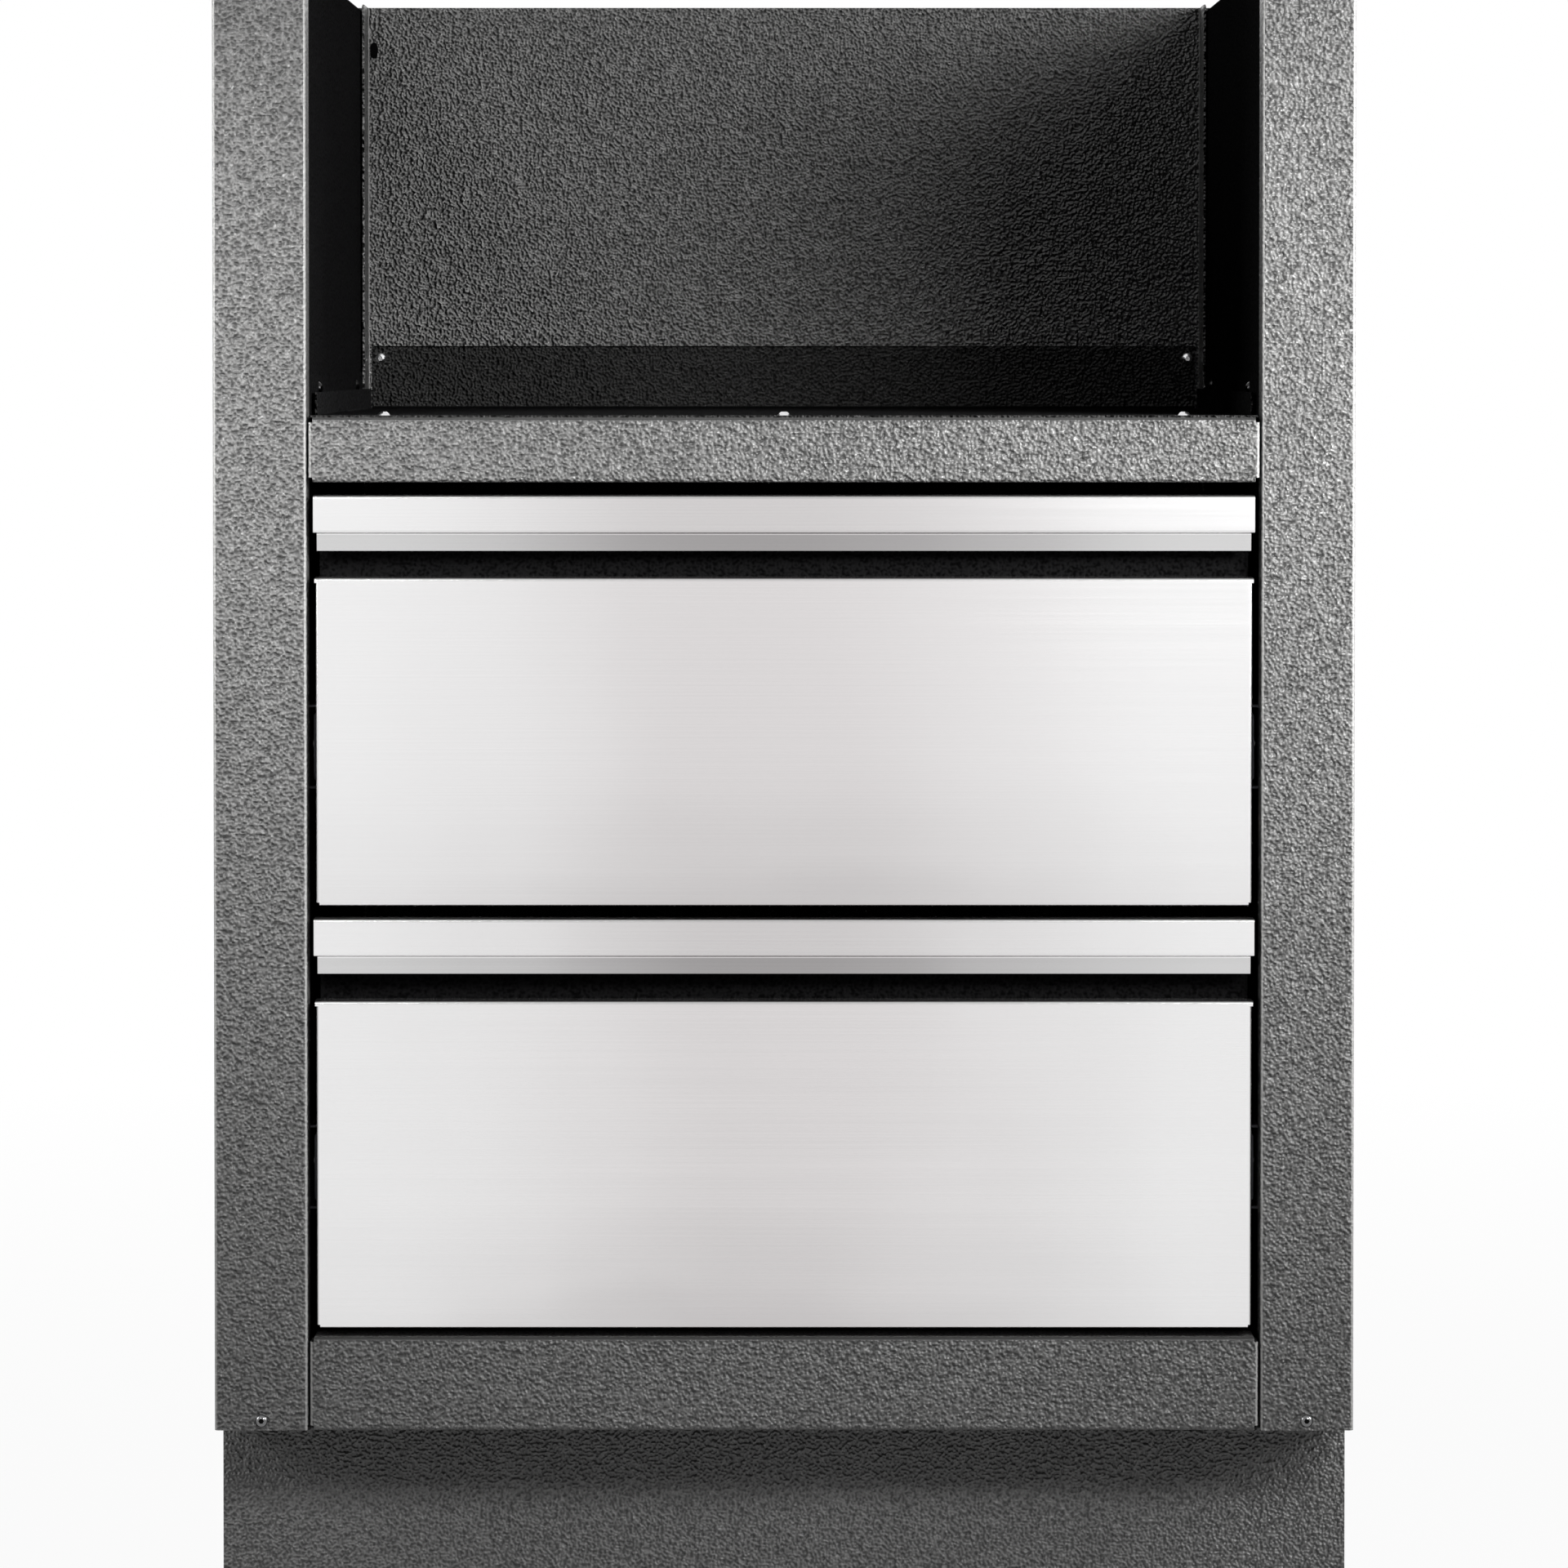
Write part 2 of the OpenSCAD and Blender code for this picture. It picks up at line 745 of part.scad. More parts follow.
module plinth_left() {
  color(dark_paint) mirror([1, 0, 0]) plinth_side();
}

module plinth_right() {
  color(dark_paint) plinth_side();
}

// Triangular plate with a hexagon nut, drawn for the front right corner
module foot_plate(y) {
  corner_x = plinth_x - sheet_t - bend_r;
  corner_y = y - foot_inset + sheet_t + bend_r;
  difference() {
    union() {
      along_z(plate_z, plate_z + plate_t) polygon([
        [corner_x, corner_y],
        [corner_x, corner_y + plate_w],
        [corner_x - plate_end, corner_y + plate_w],
        [corner_x - plate_w, corner_y + plate_end],
        [corner_x - plate_w, corner_y]
      ]);
      translate([foot_x, y, plate_z]) cylinder(r = nut_r, h = plate_t + nut_h, $fn = 6);
    }
    hole_z([foot_x, y, plate_z], stud_d + 2 * stud_play, 4 * (plate_t + nut_h));
  }
}

module foot_plates() {
  color(zinc) both_sides() {
    foot_plate(foot_front_y);
    mirror([0, 1, 0]) foot_plate(-foot_rear_y);
  }
}

// Levelling foot: a round pad, a hexagon for the spanner and a stud
module foot(x, y) {
  pad_r = pad_d / 2;
  stud_r = stud_d / 2;
  neck_z = plate_z - clear - foot_hex_h;
  translate([x, y, 0]) {
    rotate_extrude() polygon([
      [0, 0],
      [pad_r - pad_edge, 0],
      [pad_r, pad_edge],
      [pad_r, pad_rim_h],
      [pad_r - pad_shoulder, pad_rim_h + pad_shoulder],
      [stud_r + boss_w, boss_h],
      [stud_r + neck_w, neck_z],
      [stud_r, neck_z],
      [stud_r, stud_top - stud_tip],
      [stud_r - stud_tip, stud_top],
      [0, stud_top]
    ]);
    translate([0, 0, neck_z]) cylinder(r = foot_hex_r, h = plate_z - clear - neck_z, $fn = 6);
  }
}

module front_left_foot() {
  color(plastic) foot(-foot_x, foot_front_y);
}

module front_right_foot() {
  color(plastic) foot(foot_x, foot_front_y);
}

module rear_left_foot() {
  color(plastic) foot(-foot_x, foot_rear_y);
}

module rear_right_foot() {
  color(plastic) foot(foot_x, foot_rear_y);
}

// Screws of the bay floor: to the rail and to the back panel
module bay_screws() {
  color(zinc) {
    for (x = [-floor_screw_x, 0, floor_screw_x])
      translate([x, front_y + floor_screw_y, bay_z + sheet_t]) screw(floor_screw_len);
    for (x = [-rear_screw_x, rear_screw_x])
      translate([x, upstand_y - sheet_t, bay_z + rear_screw_up]) rotate([90, 0, 0])
        screw(rear_screw_len);
  }
}

// Screws that hold the floor angles on the liners
module angle_screws() {
  color(black_zinc) both_sides() for (y = [front_y + angle_screw_y, rear_y - angle_screw_y])
    translate([open_x, y, bay_z + angle_screw_up]) rotate([0, -90, 0])
      screw(angle_screw_len);
}

module post_screws() {
  color(zinc) both_sides()
    translate([post_screw_x, front_y, plinth_h + post_screw_up]) rotate([90, 0, 0])
      screw(post_screw_len);
}

// Places its children at a drawer's foot
module at_lower() {
  translate([0, 0, lower_z]) children();
}

module at_upper() {
  translate([0, 0, upper_z]) children();
}

// Stainless face, folded back on all four sides
module drawer_face() {
  color(stainless) difference() {
    union() {
      along_z(steel_out, face_h - steel_out) sheet([
        [face_return - face_x, inner_y],
        [-face_x, inner_y],
        [-face_x, front_y],
        [face_x, front_y],
        [face_x, inner_y],
        [face_x - face_return, inner_y]
      ], steel_t, steel_r);
      along_x(-face_x - hem_proud, face_x + hem_proud) sheet([
        [inner_y, face_h],
        [front_y, face_h],
        [front_y, face_h - hem_h]
      ], steel_t, steel_r);
      along_x(steel_out - face_x, face_x - steel_out) sheet([
        [front_y, hem_h],
        [front_y, 0],
        [inner_y, 0]
      ], steel_t, steel_r);
    }
    face_screw_holes();
  }
}

// Holes through the box side, the inner front and the return of the face
module face_screw_holes() {
  for (x = [-face_screw_x, face_screw_x], z = face_screw_z)
    hole_y([x, inner_y, z], screw_hole_d, 2 * hole_deep);
}

module handle_screw_holes() {
  for (x = handle_screw_x)
    hole_y([x, inner_y, handle_screw_z], screw_hole_d, hole_deep);
}

// Finger-pull handle: a tab behind, a flat top, the front band and a strip stepped back below it
module drawer_handle() {
  band_foot = front_h - band_h;
  color(stainless) difference() {
    along_x(-handle_x, handle_x) sheet([
      [inner_y, front_h - handle_tab_h],
      [inner_y, front_h],
      [front_y, front_h],
      [front_y, band_foot],
      [front_y + strip_step, band_foot],
      [front_y + strip_step + strip_lean, band_foot - strip_h]
    ], steel_t, steel_r);
    both_sides() block(
      [handle_x - strip_inset, front_y - cut, band_foot - strip_h - cut],
      [handle_x + cut, inner_y - steel_out, band_foot]
    );
    handle_screw_holes();
  }
}

module drawer_inner_front() {
  color(dark_paint) difference() {
    block(
      [-inner_front_x, inner_y, inner_front_up],
      [inner_front_x, box_front_y, front_h - steel_t - clear]
    );
    face_screw_holes();
    handle_screw_holes();
  }
}

// Side of the drawer box, drawn on the left
module drawer_side() {
  color(dark_paint) difference() {
    mirror([1, 0, 0]) {
      along_y(box_front_y + relief, box_rear_y) sheet([
        [box_x - box_flange, box_up],
        [box_x, box_up],
        [box_x, box_top]
      ]);
      block(
        [box_x - 2 * sheet_t, box_front_y + relief, box_top - box_hem],
        [box_x, box_rear_y, box_top]
      );
      along_z(box_up + bend_out + sheet_t + clear, box_top) sheet([
        [box_x - box_flange, box_front_y],
        [box_x, box_front_y],
        [box_x, box_front_y + 2 * relief]
      ]);
    }
    face_screw_holes();
    for (y = runner_screw_y)
      hole_x([-box_x, runner_y + y, runner_up], screw_hole_d, hole_deep);
  }
}

module drawer_back() {
  back_half = box_x - sheet_t - seam;
  color(dark_paint) along_z(box_up + bend_out + clear, box_top - box_back_drop) sheet([
    [back_half, box_rear_y - box_flange],
    [back_half, box_rear_y],
    [-back_half, box_rear_y],
    [-back_half, box_rear_y - box_flange]
  ]);
}

module drawer_bottom() {
  bottom_half = box_x - bend_out - clear;
  color(dark_paint) block(
    [-bottom_half, box_front_y + seam, bottom_sheet_z],
    [bottom_half, box_rear_y, bottom_sheet_z + sheet_t]
  );
}

// Screws of one drawer: box to runners, box to face, inner front to handle
module drawer_screws() {
  color(zinc) {
    both_sides() {
      for (y = runner_screw_y)
        translate([sheet_t - box_x, runner_y + y, runner_up]) rotate([0, 90, 0])
          screw(sheet_t + member_t + shank_d / 2);
      for (z = face_screw_z)
        translate([face_screw_x, box_front_y + sheet_t, z]) rotate([-90, 0, 0])
          screw(2 * sheet_t + steel_t + shank_d);
    }
    for (x = handle_screw_x)
      translate([x, box_front_y, handle_screw_z]) rotate([-90, 0, 0])
        screw(sheet_t + 2 * steel_t);
  }
}

// Places a runner section on the left liner: X is u and Z is w
module on_left_liner() {
  translate([-liner_x, 0, runner_up]) children();
}

// Channel of a runner, open towards the lip
module channel(web, lip, w, t, r, y0, y1) {
  points = [[lip, w], [web, w], [web, -w], [lip, -w]];
  along_y(y0, y1) sheet(lip > web ? points : reversed(points), t, r);
}

// Ball grooves of one row, cut along the whole runner
module ball_grooves(u, w) {
  for (side = [-1, 1])
    hole_y([u, runner_y + runner_len / 2, side * w], ball_d + 2 * ball_play, runner_len + 2 * cut);
}

// Mounting slots along the web of a member, between its screw holes
module mounting_slots(u) {
  slot_half = (web_slot_l - web_slot_w) / 2;
  for (k = [1 : web_slots])
    translate([u, runner_y + k * runner_len / (web_slots + 1), 0]) {
      for (y = [-slot_half, slot_half])
        hole_x([0, y, 0], web_slot_w, hole_deep);
      block(
        [-hole_deep / 2, -slot_half, -web_slot_w / 2],
        [hole_deep / 2, slot_half, web_slot_w / 2]
      );
    }
}

module outer_member() {
  color(black_zinc) on_left_liner() difference() {
    channel(0, outer_lip, runner_h / 2, member_t, member_r, runner_y, runner_y + runner_len);
    ball_grooves(outer_row, outer_ball_w);
    mounting_slots(0);
    for (y = runner_screw_y)
      hole_x([0, runner_y + y, 0], screw_hole_d, hole_deep);
  }
}

module middle_member() {
  color(black_zinc) on_left_liner() difference() {
    channel(middle_at, middle_lip, middle_w, member_t, member_r, runner_y, runner_y + runner_len);
    ball_grooves(outer_row, outer_ball_w);
    ball_grooves(inner_row, inner_ball_w);
  }
}

module inner_member() {
  color(black_zinc) on_left_liner() difference() {
    channel(runner_t, inner_lip, inner_w, member_t, member_r, runner_y, runner_y + runner_len);
    ball_grooves(inner_row, inner_ball_w);
    mounting_slots(runner_t);
    for (y = runner_screw_y)
      hole_x([runner_t, runner_y + y, 0], screw_hole_d, hole_deep);
  }
}

// Places its children at each ball of a row along the cage
module at_balls() {
  for (k = [0 : balls - 1])
    translate([0, runner_y + cage_start + cage_end + k * ball_step, 0]) children();
}

module cage(web, lip, u, w) {
  on_left_liner() difference() {
    channel(web, lip, w + cage_t / 2, cage_t, cage_r,
      runner_y + cage_start, runner_y + cage_start + cage_len);
    at_balls() hole_z([u, 0, 0], ball_d + 2 * ball_play, 2 * w + 2 * cage_t + cut);
  }
}

module ball_rows(u, w) {
  on_left_liner() at_balls() for (side = [-1, 1])
    translate([u, 0, side * w]) sphere(d = ball_d);
}

module outer_cages() {
  color(zinc) both_sides() cage(outer_cage_at, outer_cage_lip, outer_row, outer_ball_w);
}

module inner_cages() {
  color(zinc) both_sides() cage(inner_cage_at, inner_cage_lip, inner_row, inner_ball_w);
}

module outer_balls() {
  color(zinc) both_sides() ball_rows(outer_row, outer_ball_w);
}

module inner_balls() {
  color(zinc) both_sides() ball_rows(inner_row, inner_ball_w);
}

// Flat-headed screws that hold the outer members on the liners
module runner_screws() {
  color(zinc) for (z = [lower_z, upper_z]) translate([0, 0, z]) both_sides() on_left_liner()
    for (y = runner_screw_y) translate([member_t, runner_y + y, 0]) rotate([0, 90, 0]) {
      cylinder(d = flat_head_d, h = flat_head_h);
      translate([0, 0, -member_t - 3 * sheet_t])
        cylinder(d = shank_d, h = member_t + 3 * sheet_t + flat_head_h / 2);
    }
}

module upper_left_outer_runner() at_upper() outer_member();
module upper_right_outer_runner() at_upper() mirror([1, 0, 0]) outer_member();
module lower_left_outer_runner() at_lower() outer_member();
module lower_right_outer_runner() at_lower() mirror([1, 0, 0]) outer_member();
module upper_middle_runners() at_upper() both_sides() middle_member();
module lower_middle_runners() at_lower() both_sides() middle_member();
module upper_left_inner_runner() at_upper() inner_member();
module upper_right_inner_runner() at_upper() mirror([1, 0, 0]) inner_member();
module lower_left_inner_runner() at_lower() inner_member();
module lower_right_inner_runner() at_lower() mirror([1, 0, 0]) inner_member();
module upper_outer_cages() at_upper() outer_cages();
module upper_outer_balls() at_upper() outer_balls();
module upper_inner_cages() at_upper() inner_cages();
module upper_inner_balls() at_upper() inner_balls();
module lower_outer_cages() at_lower() outer_cages();
module lower_outer_balls() at_lower() outer_balls();
module lower_inner_cages() at_lower() inner_cages();
module lower_inner_balls() at_lower() inner_balls();
module upper_drawer_face() at_upper() drawer_face();
module upper_drawer_handle() at_upper() drawer_handle();
module upper_drawer_inner_front() at_upper() drawer_inner_front();
module upper_drawer_left_side() at_upper() drawer_side();
module upper_drawer_right_side() at_upper() mirror([1, 0, 0]) drawer_side();
module upper_drawer_back() at_upper() drawer_back();
module upper_drawer_bottom() at_upper() drawer_bottom();
module upper_drawer_screws() at_upper() drawer_screws();
module lower_drawer_face() at_lower() drawer_face();
module lower_drawer_handle() at_lower() drawer_handle();
module lower_drawer_inner_front() at_lower() drawer_inner_front();
module lower_drawer_left_side() at_lower() drawer_side();
module lower_drawer_right_side() at_lower() mirror([1, 0, 0]) drawer_side();
module lower_drawer_back() at_lower() drawer_back();
module lower_drawer_bottom() at_lower() drawer_bottom();
module lower_drawer_screws() at_lower() drawer_screws();

left_side_panel();
right_side_panel();
left_liner();
right_liner();
bay_back_panel();
lower_back_panel();
middle_rail();
bottom_rail();
bay_floor();
left_floor_angle();
right_floor_angle();
bottom_panel();
toe_kick();
plinth_left();
plinth_right();
plinth_rear();
foot_plates();
bay_screws();
angle_screws();
post_screws();
runner_screws();
slot_plug();
upper_left_outer_runner();
upper_right_outer_runner();
lower_left_outer_runner();
lower_right_outer_runner();
upper_middle_runners();
lower_middle_runners();
upper_outer_cages();
upper_outer_balls();
upper_inner_cages();
upper_inner_balls();
lower_outer_cages();
lower_outer_balls();
lower_inner_cages();
lower_inner_balls();
upper_drawer_face();
upper_drawer_handle();
upper_drawer_inner_front();
upper_drawer_left_side();
upper_drawer_right_side();
upper_drawer_back();
upper_drawer_bottom();
upper_drawer_screws();
upper_left_inner_runner();
upper_right_inner_runner();
lower_drawer_face();
lower_drawer_handle();
lower_drawer_inner_front();
lower_drawer_left_side();
lower_drawer_right_side();
lower_drawer_back();
lower_drawer_bottom();
lower_drawer_screws();
lower_left_inner_runner();
lower_right_inner_runner();
front_left_foot();
front_right_foot();
rear_left_foot();
rear_right_foot();
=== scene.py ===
"""Finishes of an outdoor kitchen cabinet module.

Hammertone paint on its sheets, brushed steel on its drawer fronts, plated runners and moulded feet.
"""

import json
import math

import bmesh
import bpy
from bpy.props import FloatProperty, FloatVectorProperty, PointerProperty
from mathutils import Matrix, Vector

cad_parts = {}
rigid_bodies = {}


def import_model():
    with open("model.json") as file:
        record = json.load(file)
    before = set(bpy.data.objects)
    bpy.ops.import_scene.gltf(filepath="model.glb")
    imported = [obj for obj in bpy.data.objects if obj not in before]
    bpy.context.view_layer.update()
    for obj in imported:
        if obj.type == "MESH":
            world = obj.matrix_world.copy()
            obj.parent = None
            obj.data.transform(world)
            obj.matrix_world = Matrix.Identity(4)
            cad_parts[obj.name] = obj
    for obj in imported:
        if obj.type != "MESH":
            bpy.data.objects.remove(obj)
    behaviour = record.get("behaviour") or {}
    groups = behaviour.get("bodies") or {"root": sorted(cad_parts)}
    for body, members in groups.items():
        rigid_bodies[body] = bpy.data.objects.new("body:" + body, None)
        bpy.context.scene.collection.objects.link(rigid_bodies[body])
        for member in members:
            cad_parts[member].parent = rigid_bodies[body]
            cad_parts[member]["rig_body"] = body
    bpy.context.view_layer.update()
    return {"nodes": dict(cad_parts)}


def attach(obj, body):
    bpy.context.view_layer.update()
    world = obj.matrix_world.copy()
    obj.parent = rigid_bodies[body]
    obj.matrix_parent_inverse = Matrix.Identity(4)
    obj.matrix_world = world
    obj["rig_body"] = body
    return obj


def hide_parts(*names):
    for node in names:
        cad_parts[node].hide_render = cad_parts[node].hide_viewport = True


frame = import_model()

bl_info = {
    "name": "Outdoor kitchen cabinet",
    "version": (1, 0, 0),
    "blender": (4, 5, 0),
    "location": "View3D > Sidebar > Cabinet",
    "description": "Gives the sheets, drawers, runners and feet of a cabinet module their finish",
    "category": "Object",
}

SIDES = ("left", "right")
LEVELS = ("upper", "lower")
CORNERS = ("front_left", "front_right", "rear_left", "rear_right")

# Distance under which two points of a mesh are one, and angle under which two faces are one flat
SAME_POINT = 1e-6
SAME_FLAT = math.radians(0.5)
# Angle from which an edge is a cut edge and is rounded, and up to which shading runs smoothly on
CUT_EDGE = math.radians(50)
SMOOTH_EDGE = math.radians(35)
# From what share of its normal a face counts as looking along an axis: roughly, nearly, exactly
ROUGHLY_ALONG = 0.5
NEARLY_ALONG = 0.9
EXACTLY_ALONG = 0.99
# How far a socket reaches out from a screw's axis, as a share of the head's width
SOCKET_REACH = 0.24

# Waves a metre of the fine lines, the bands and the patches of brushed steel, and of the ragged
# edge of its painted shade
BRUSH_LINES = (5, 5, 2600)
BRUSH_BANDS = (1.5, 1.5, 130)
BRUSH_PATCHES = (9, 9, 5)
BRUSH_SHADE_EDGE = (7, 7, 12)
# Waves a metre of the lines that rolling leaves under the zinc
ROLL_LINES = (900, 12, 900)
# Depth of the lines in brushed and in rolled metal
LINE_DEPTH = 0.00002

# The soft boxes: name, place, target, width and height, the power that they share, their share of
# it, and the angle over which they spread their light
LAMPS = (
    ("key", (0.68, -1.2, 0.98), (0.2, -0.3, 0.65), (0.5, 0.36), "key", 1, 56),
    ("key_left", (-0.55, -1.1, 1.1), (-0.36, -0.3, 0.66), (0.3, 0.36), "key", 0.26, 38),
    ("side_left", (-1.3, -0.62, 0.85), (0, -0.3, 0.55), (0.3, 0.7), "fill", 0.7, 180),
    ("flank_left", (-2.4, 0.6, 1.3), (0, 0, 0.5), (1, 1), "fill", 1, 180),
    ("side_right", (1.3, -0.62, 0.85), (0, -0.3, 0.55), (0.3, 0.7), "fill", 1.3, 180),
    ("flank_right", (2.4, 0.6, 1.3), (0, 0, 0.5), (1, 1), "fill", 1, 180),
    ("back", (0, 2.4, 1.4), (0, 0, 0.5), (1.4, 1.2), "fill", 1, 180),
)


class Value:
    """What a shader socket gives, for use in Python expressions."""

    def __init__(self, graph, socket):
        self.graph = graph
        self.socket = socket

    def __add__(self, other):
        return self.graph.math("ADD", self, other)

    def __sub__(self, other):
        return self.graph.math("SUBTRACT", self, other)

    def __rsub__(self, other):
        return self.graph.math("SUBTRACT", other, self)

    def __mul__(self, other):
        return self.graph.math("MULTIPLY", self, other)

    __radd__ = __add__
    __rmul__ = __mul__


class Graph:
    """The nodes of one material or of the world."""

    def __init__(self, owner):
        owner.use_nodes = True
        self.tree = owner.node_tree
        self.tree.nodes.clear()

    def node(self, kind, settings=None, sockets=None, output=0):
        """Adds a node, with its settings first and then the values or links of its sockets."""
        made = self.tree.nodes.new(kind)
        for name, setting in (settings or {}).items():
            if name == "stops":
                self.set_stops(made.color_ramp, setting)
            elif name == "easing":
                made.color_ramp.interpolation = setting
            else:
                setattr(made, name, setting)
        for name, value in (sockets or {}).items():
            if isinstance(value, Value):
                self.tree.links.new(value.socket, made.inputs[name])
            else:
                made.inputs[name].default_value = value
        return Value(self, made.outputs[output]) if made.outputs else None

    @staticmethod
    def set_stops(ramp, stops):
        """Gives a colour ramp its stops, each a place and a grey."""
        while len(ramp.elements) < len(stops):
            ramp.elements.new(1)
        for element, (place, level) in zip(ramp.elements, stops):
            element.position = place
            element.color = grey(level)

    def math(self, operation, first, second):
        return self.node("ShaderNodeMath", {"operation": operation}, {0: first, 1: second})

    def mix(self, share, first, second):
        """Colour between the first and the second."""
        sockets = {0: share, 6: first, 7: second}
        return self.node("ShaderNodeMix", {"data_type": "RGBA"}, sockets, 2)

    def place(self):
        """Where a point is on the object, in metres."""
        return self.node("ShaderNodeTexCoord", output="Object")

    def stretched(self, place, scales):
        return self.node("ShaderNodeMapping", {}, {"Vector": place, "Scale": scales})

    def noise(self, place, scale, detail=2, rough=0.5):
        sockets = {"Vector": place, "Scale": scale, "Detail": detail, "Roughness": rough}
        return self.node("ShaderNodeTexNoise", {}, sockets)

    def cells(self, place, scale):
        """Distance to the middle of the nearest blob, smooth from blob to blob."""
        sockets = {"Vector": place, "Scale": scale, "Smoothness": 0.8}
        return self.node("ShaderNodeTexVoronoi", {"feature": "SMOOTH_F1"}, sockets)

    def part_of(self, place, axis):
        return self.node("ShaderNodeSeparateXYZ", {}, {"Vector": place}, axis)

    def attribute(self, name):
        """A number that the piece's mesh carries."""
        return self.node("ShaderNodeAttribute", {"attribute_name": name}, {}, 2)

    def ramp(self, value, stops, easing="LINEAR"):
        settings = {"stops": stops, "easing": easing}
        return self.node("ShaderNodeValToRGB", settings, {"Fac": value})

    def bump(self, height, distance, strength=1):
        sockets = {"Height": height, "Distance": distance, "Strength": strength}
        return self.node("ShaderNodeBump", {}, sockets)

    def surface(self, **sockets):
        """Ends a material with one shader that has these sockets."""
        named = {
            name.replace("_", " ").title().replace("Ior", "IOR"): value
            for name, value in sockets.items()
        }
        shader = self.node("ShaderNodeBsdfPrincipled", {}, named)
        self.node("ShaderNodeOutputMaterial", {}, {"Surface": shader})


def new_graph(name):
    material = bpy.data.materials.new(name)
    return material, Graph(material)


def tinted(colour, share=1.0):
    return (colour[0] * share, colour[1] * share, colour[2] * share, 1)


def grey(level):
    return (level, level, level, 1)


def hammertone(name, colour, look, gloss=0.42, roughness=0.33, depth=1.0, shadow_from=None):
    """Powder coat that dried into small rolling blobs, smooth over the bends, with a painted
    highlight over upright bends and painted shade over level ones.

    The roughness is that of the blobs' tops, and depth multiplies their height. From the height
    shadow_from upwards the coat is painted black, a painted shadow line as in a gap.
    """
    material, graph = new_graph(name)
    place = graph.place()
    swell = graph.noise(place, 1 / look.grain, 0)
    blobs = graph.cells(place, 0.62 / look.grain)
    height = swell + blobs * -0.35
    clouds = graph.noise(place, 14, 2, 0.55)
    creases = graph.ramp(height + clouds * 0.1, [(0.14, 0), (0.46, 1)])
    paint = graph.mix(creases, tinted(colour, 0.35), tinted(colour, 1.2))
    # Painted shadow line: from the given height upwards the coat is black, as in a gap.
    if shadow_from is not None:
        above = graph.math("GREATER_THAN", graph.part_of(place, 2), shadow_from)
        paint = graph.mix(above, paint, grey(0.001))
    # Painted highlight over upright bends, many times the colour; painted shade over level bends, a
    # fifth of it.
    upright = graph.attribute("upright_bend")
    level = graph.attribute("level_bend")
    rounded = graph.mix(level, paint, tinted(colour, 0.2))
    sheen = graph.ramp(swell, [(0.3, roughness + 0.08), (0.7, roughness)])
    graph.surface(
        base_color=graph.mix(upright, rounded, tinted(colour, look.bend_highlight)),
        roughness=sheen + graph.attribute("top") * 0.35,
        specular_ior_level=gloss,
        normal=graph.bump(height * (1 - upright) * (1 - level), look.relief * depth),
    )
    return material


def brushed(graph, place, ends, middle):
    """Steel brushed along the sheet: its colour, tone, lines, and how far a painted dark reflection
    darkens its middle.
    """
    lines = graph.noise(graph.stretched(place, BRUSH_LINES), 1, 3, 0.6)
    bands = graph.noise(graph.stretched(place, BRUSH_BANDS), 1, 2, 0.5)
    patches = graph.noise(graph.stretched(place, BRUSH_PATCHES), 1, 2, 0.4)
    tone = graph.ramp(patches * 0.3 + bands * 0.2 + lines * 0.5, [(0.3, 0), (0.7, 1)])
    # Painted dark reflection: the fronts are darker at their middle than at their ends.
    from_middle = graph.math("ABSOLUTE", graph.part_of(place, 0), 0)
    painted_dark_reflection = graph.ramp(from_middle * 3.6 + patches * 0.3 - 0.15, [(0.05, 1), (0.85, 0)], "EASE")
    lit_ends = graph.mix(tone, tinted(ends, 0.97), tinted(ends, 1.02))
    shaded_middle = graph.mix(tone, tinted(middle, 0.94), tinted(middle, 1.05))
    return graph.mix(painted_dark_reflection, lit_ends, shaded_middle), tone, lines, painted_dark_reflection


def polish(graph, colour, tone, lines, roughness):
    """Ends a steel material, darkened over the bends by a painted dark reflection."""
    bend = graph.math("MAXIMUM", graph.attribute("level_bend"), graph.attribute("upright_bend"))
    # Painted dark reflection: the bends are mixed towards dark grey.
    graph.surface(
        base_color=graph.mix(bend * 0.8, colour, grey(0.35)),
        metallic=1.0,
        roughness=graph.ramp(tone, [(0, roughness + 0.06), (1, roughness - 0.03)]),
        normal=graph.bump(lines, LINE_DEPTH, 0.5),
    )


def brushed_face(name, look, foot):
    """Brushed steel of a drawer face, with painted shade towards its foot, whose height is given.
    """
    material, graph = new_graph(name)
    place = graph.place()
    steel, tone, lines, painted_dark_reflection = brushed(graph, place, look.steel, look.steel_middle_shade)
    above = graph.part_of(place, 2) - foot
    # Painted shade: the face darkens towards its foot, the edge of the shade made ragged by noise.
    shade_edge = graph.noise(graph.stretched(place, BRUSH_SHADE_EDGE), 1, 2, 0.4)
    rise = above * 10 + shade_edge * 0.5 - 0.25
    foot_shade = graph.ramp(rise, [(0, 0.45), (0.25, 0.22), (0.8, 0)], "EASE") * (0.35 + painted_dark_reflection)
    colour = graph.mix(foot_shade, steel, tinted(look.steel_middle_shade, 0.72))
    polish(graph, colour, tone, lines, look.steel_roughness)
    return material


def brushed_handle(name, look, strip):
    """Brushed steel of a handle: the band above the height given, and a strip below it darkened by
    painted shade.
    """
    material, graph = new_graph(name)
    place = graph.place()
    band, tone, lines, _ = brushed(graph, place, look.steel, tinted(look.steel_middle_shade, 0.88))
    # The strip is the band's steel darkened, painted shade under the band.
    shaded_strip = brushed(graph, place, tinted(look.steel, 0.78), tinted(look.steel_middle_shade, 0.52))[0]
    above = graph.math("GREATER_THAN", graph.part_of(place, 2), strip)
    polish(graph, graph.mix(above, shaded_strip, band), tone, lines, look.steel_roughness)
    return material


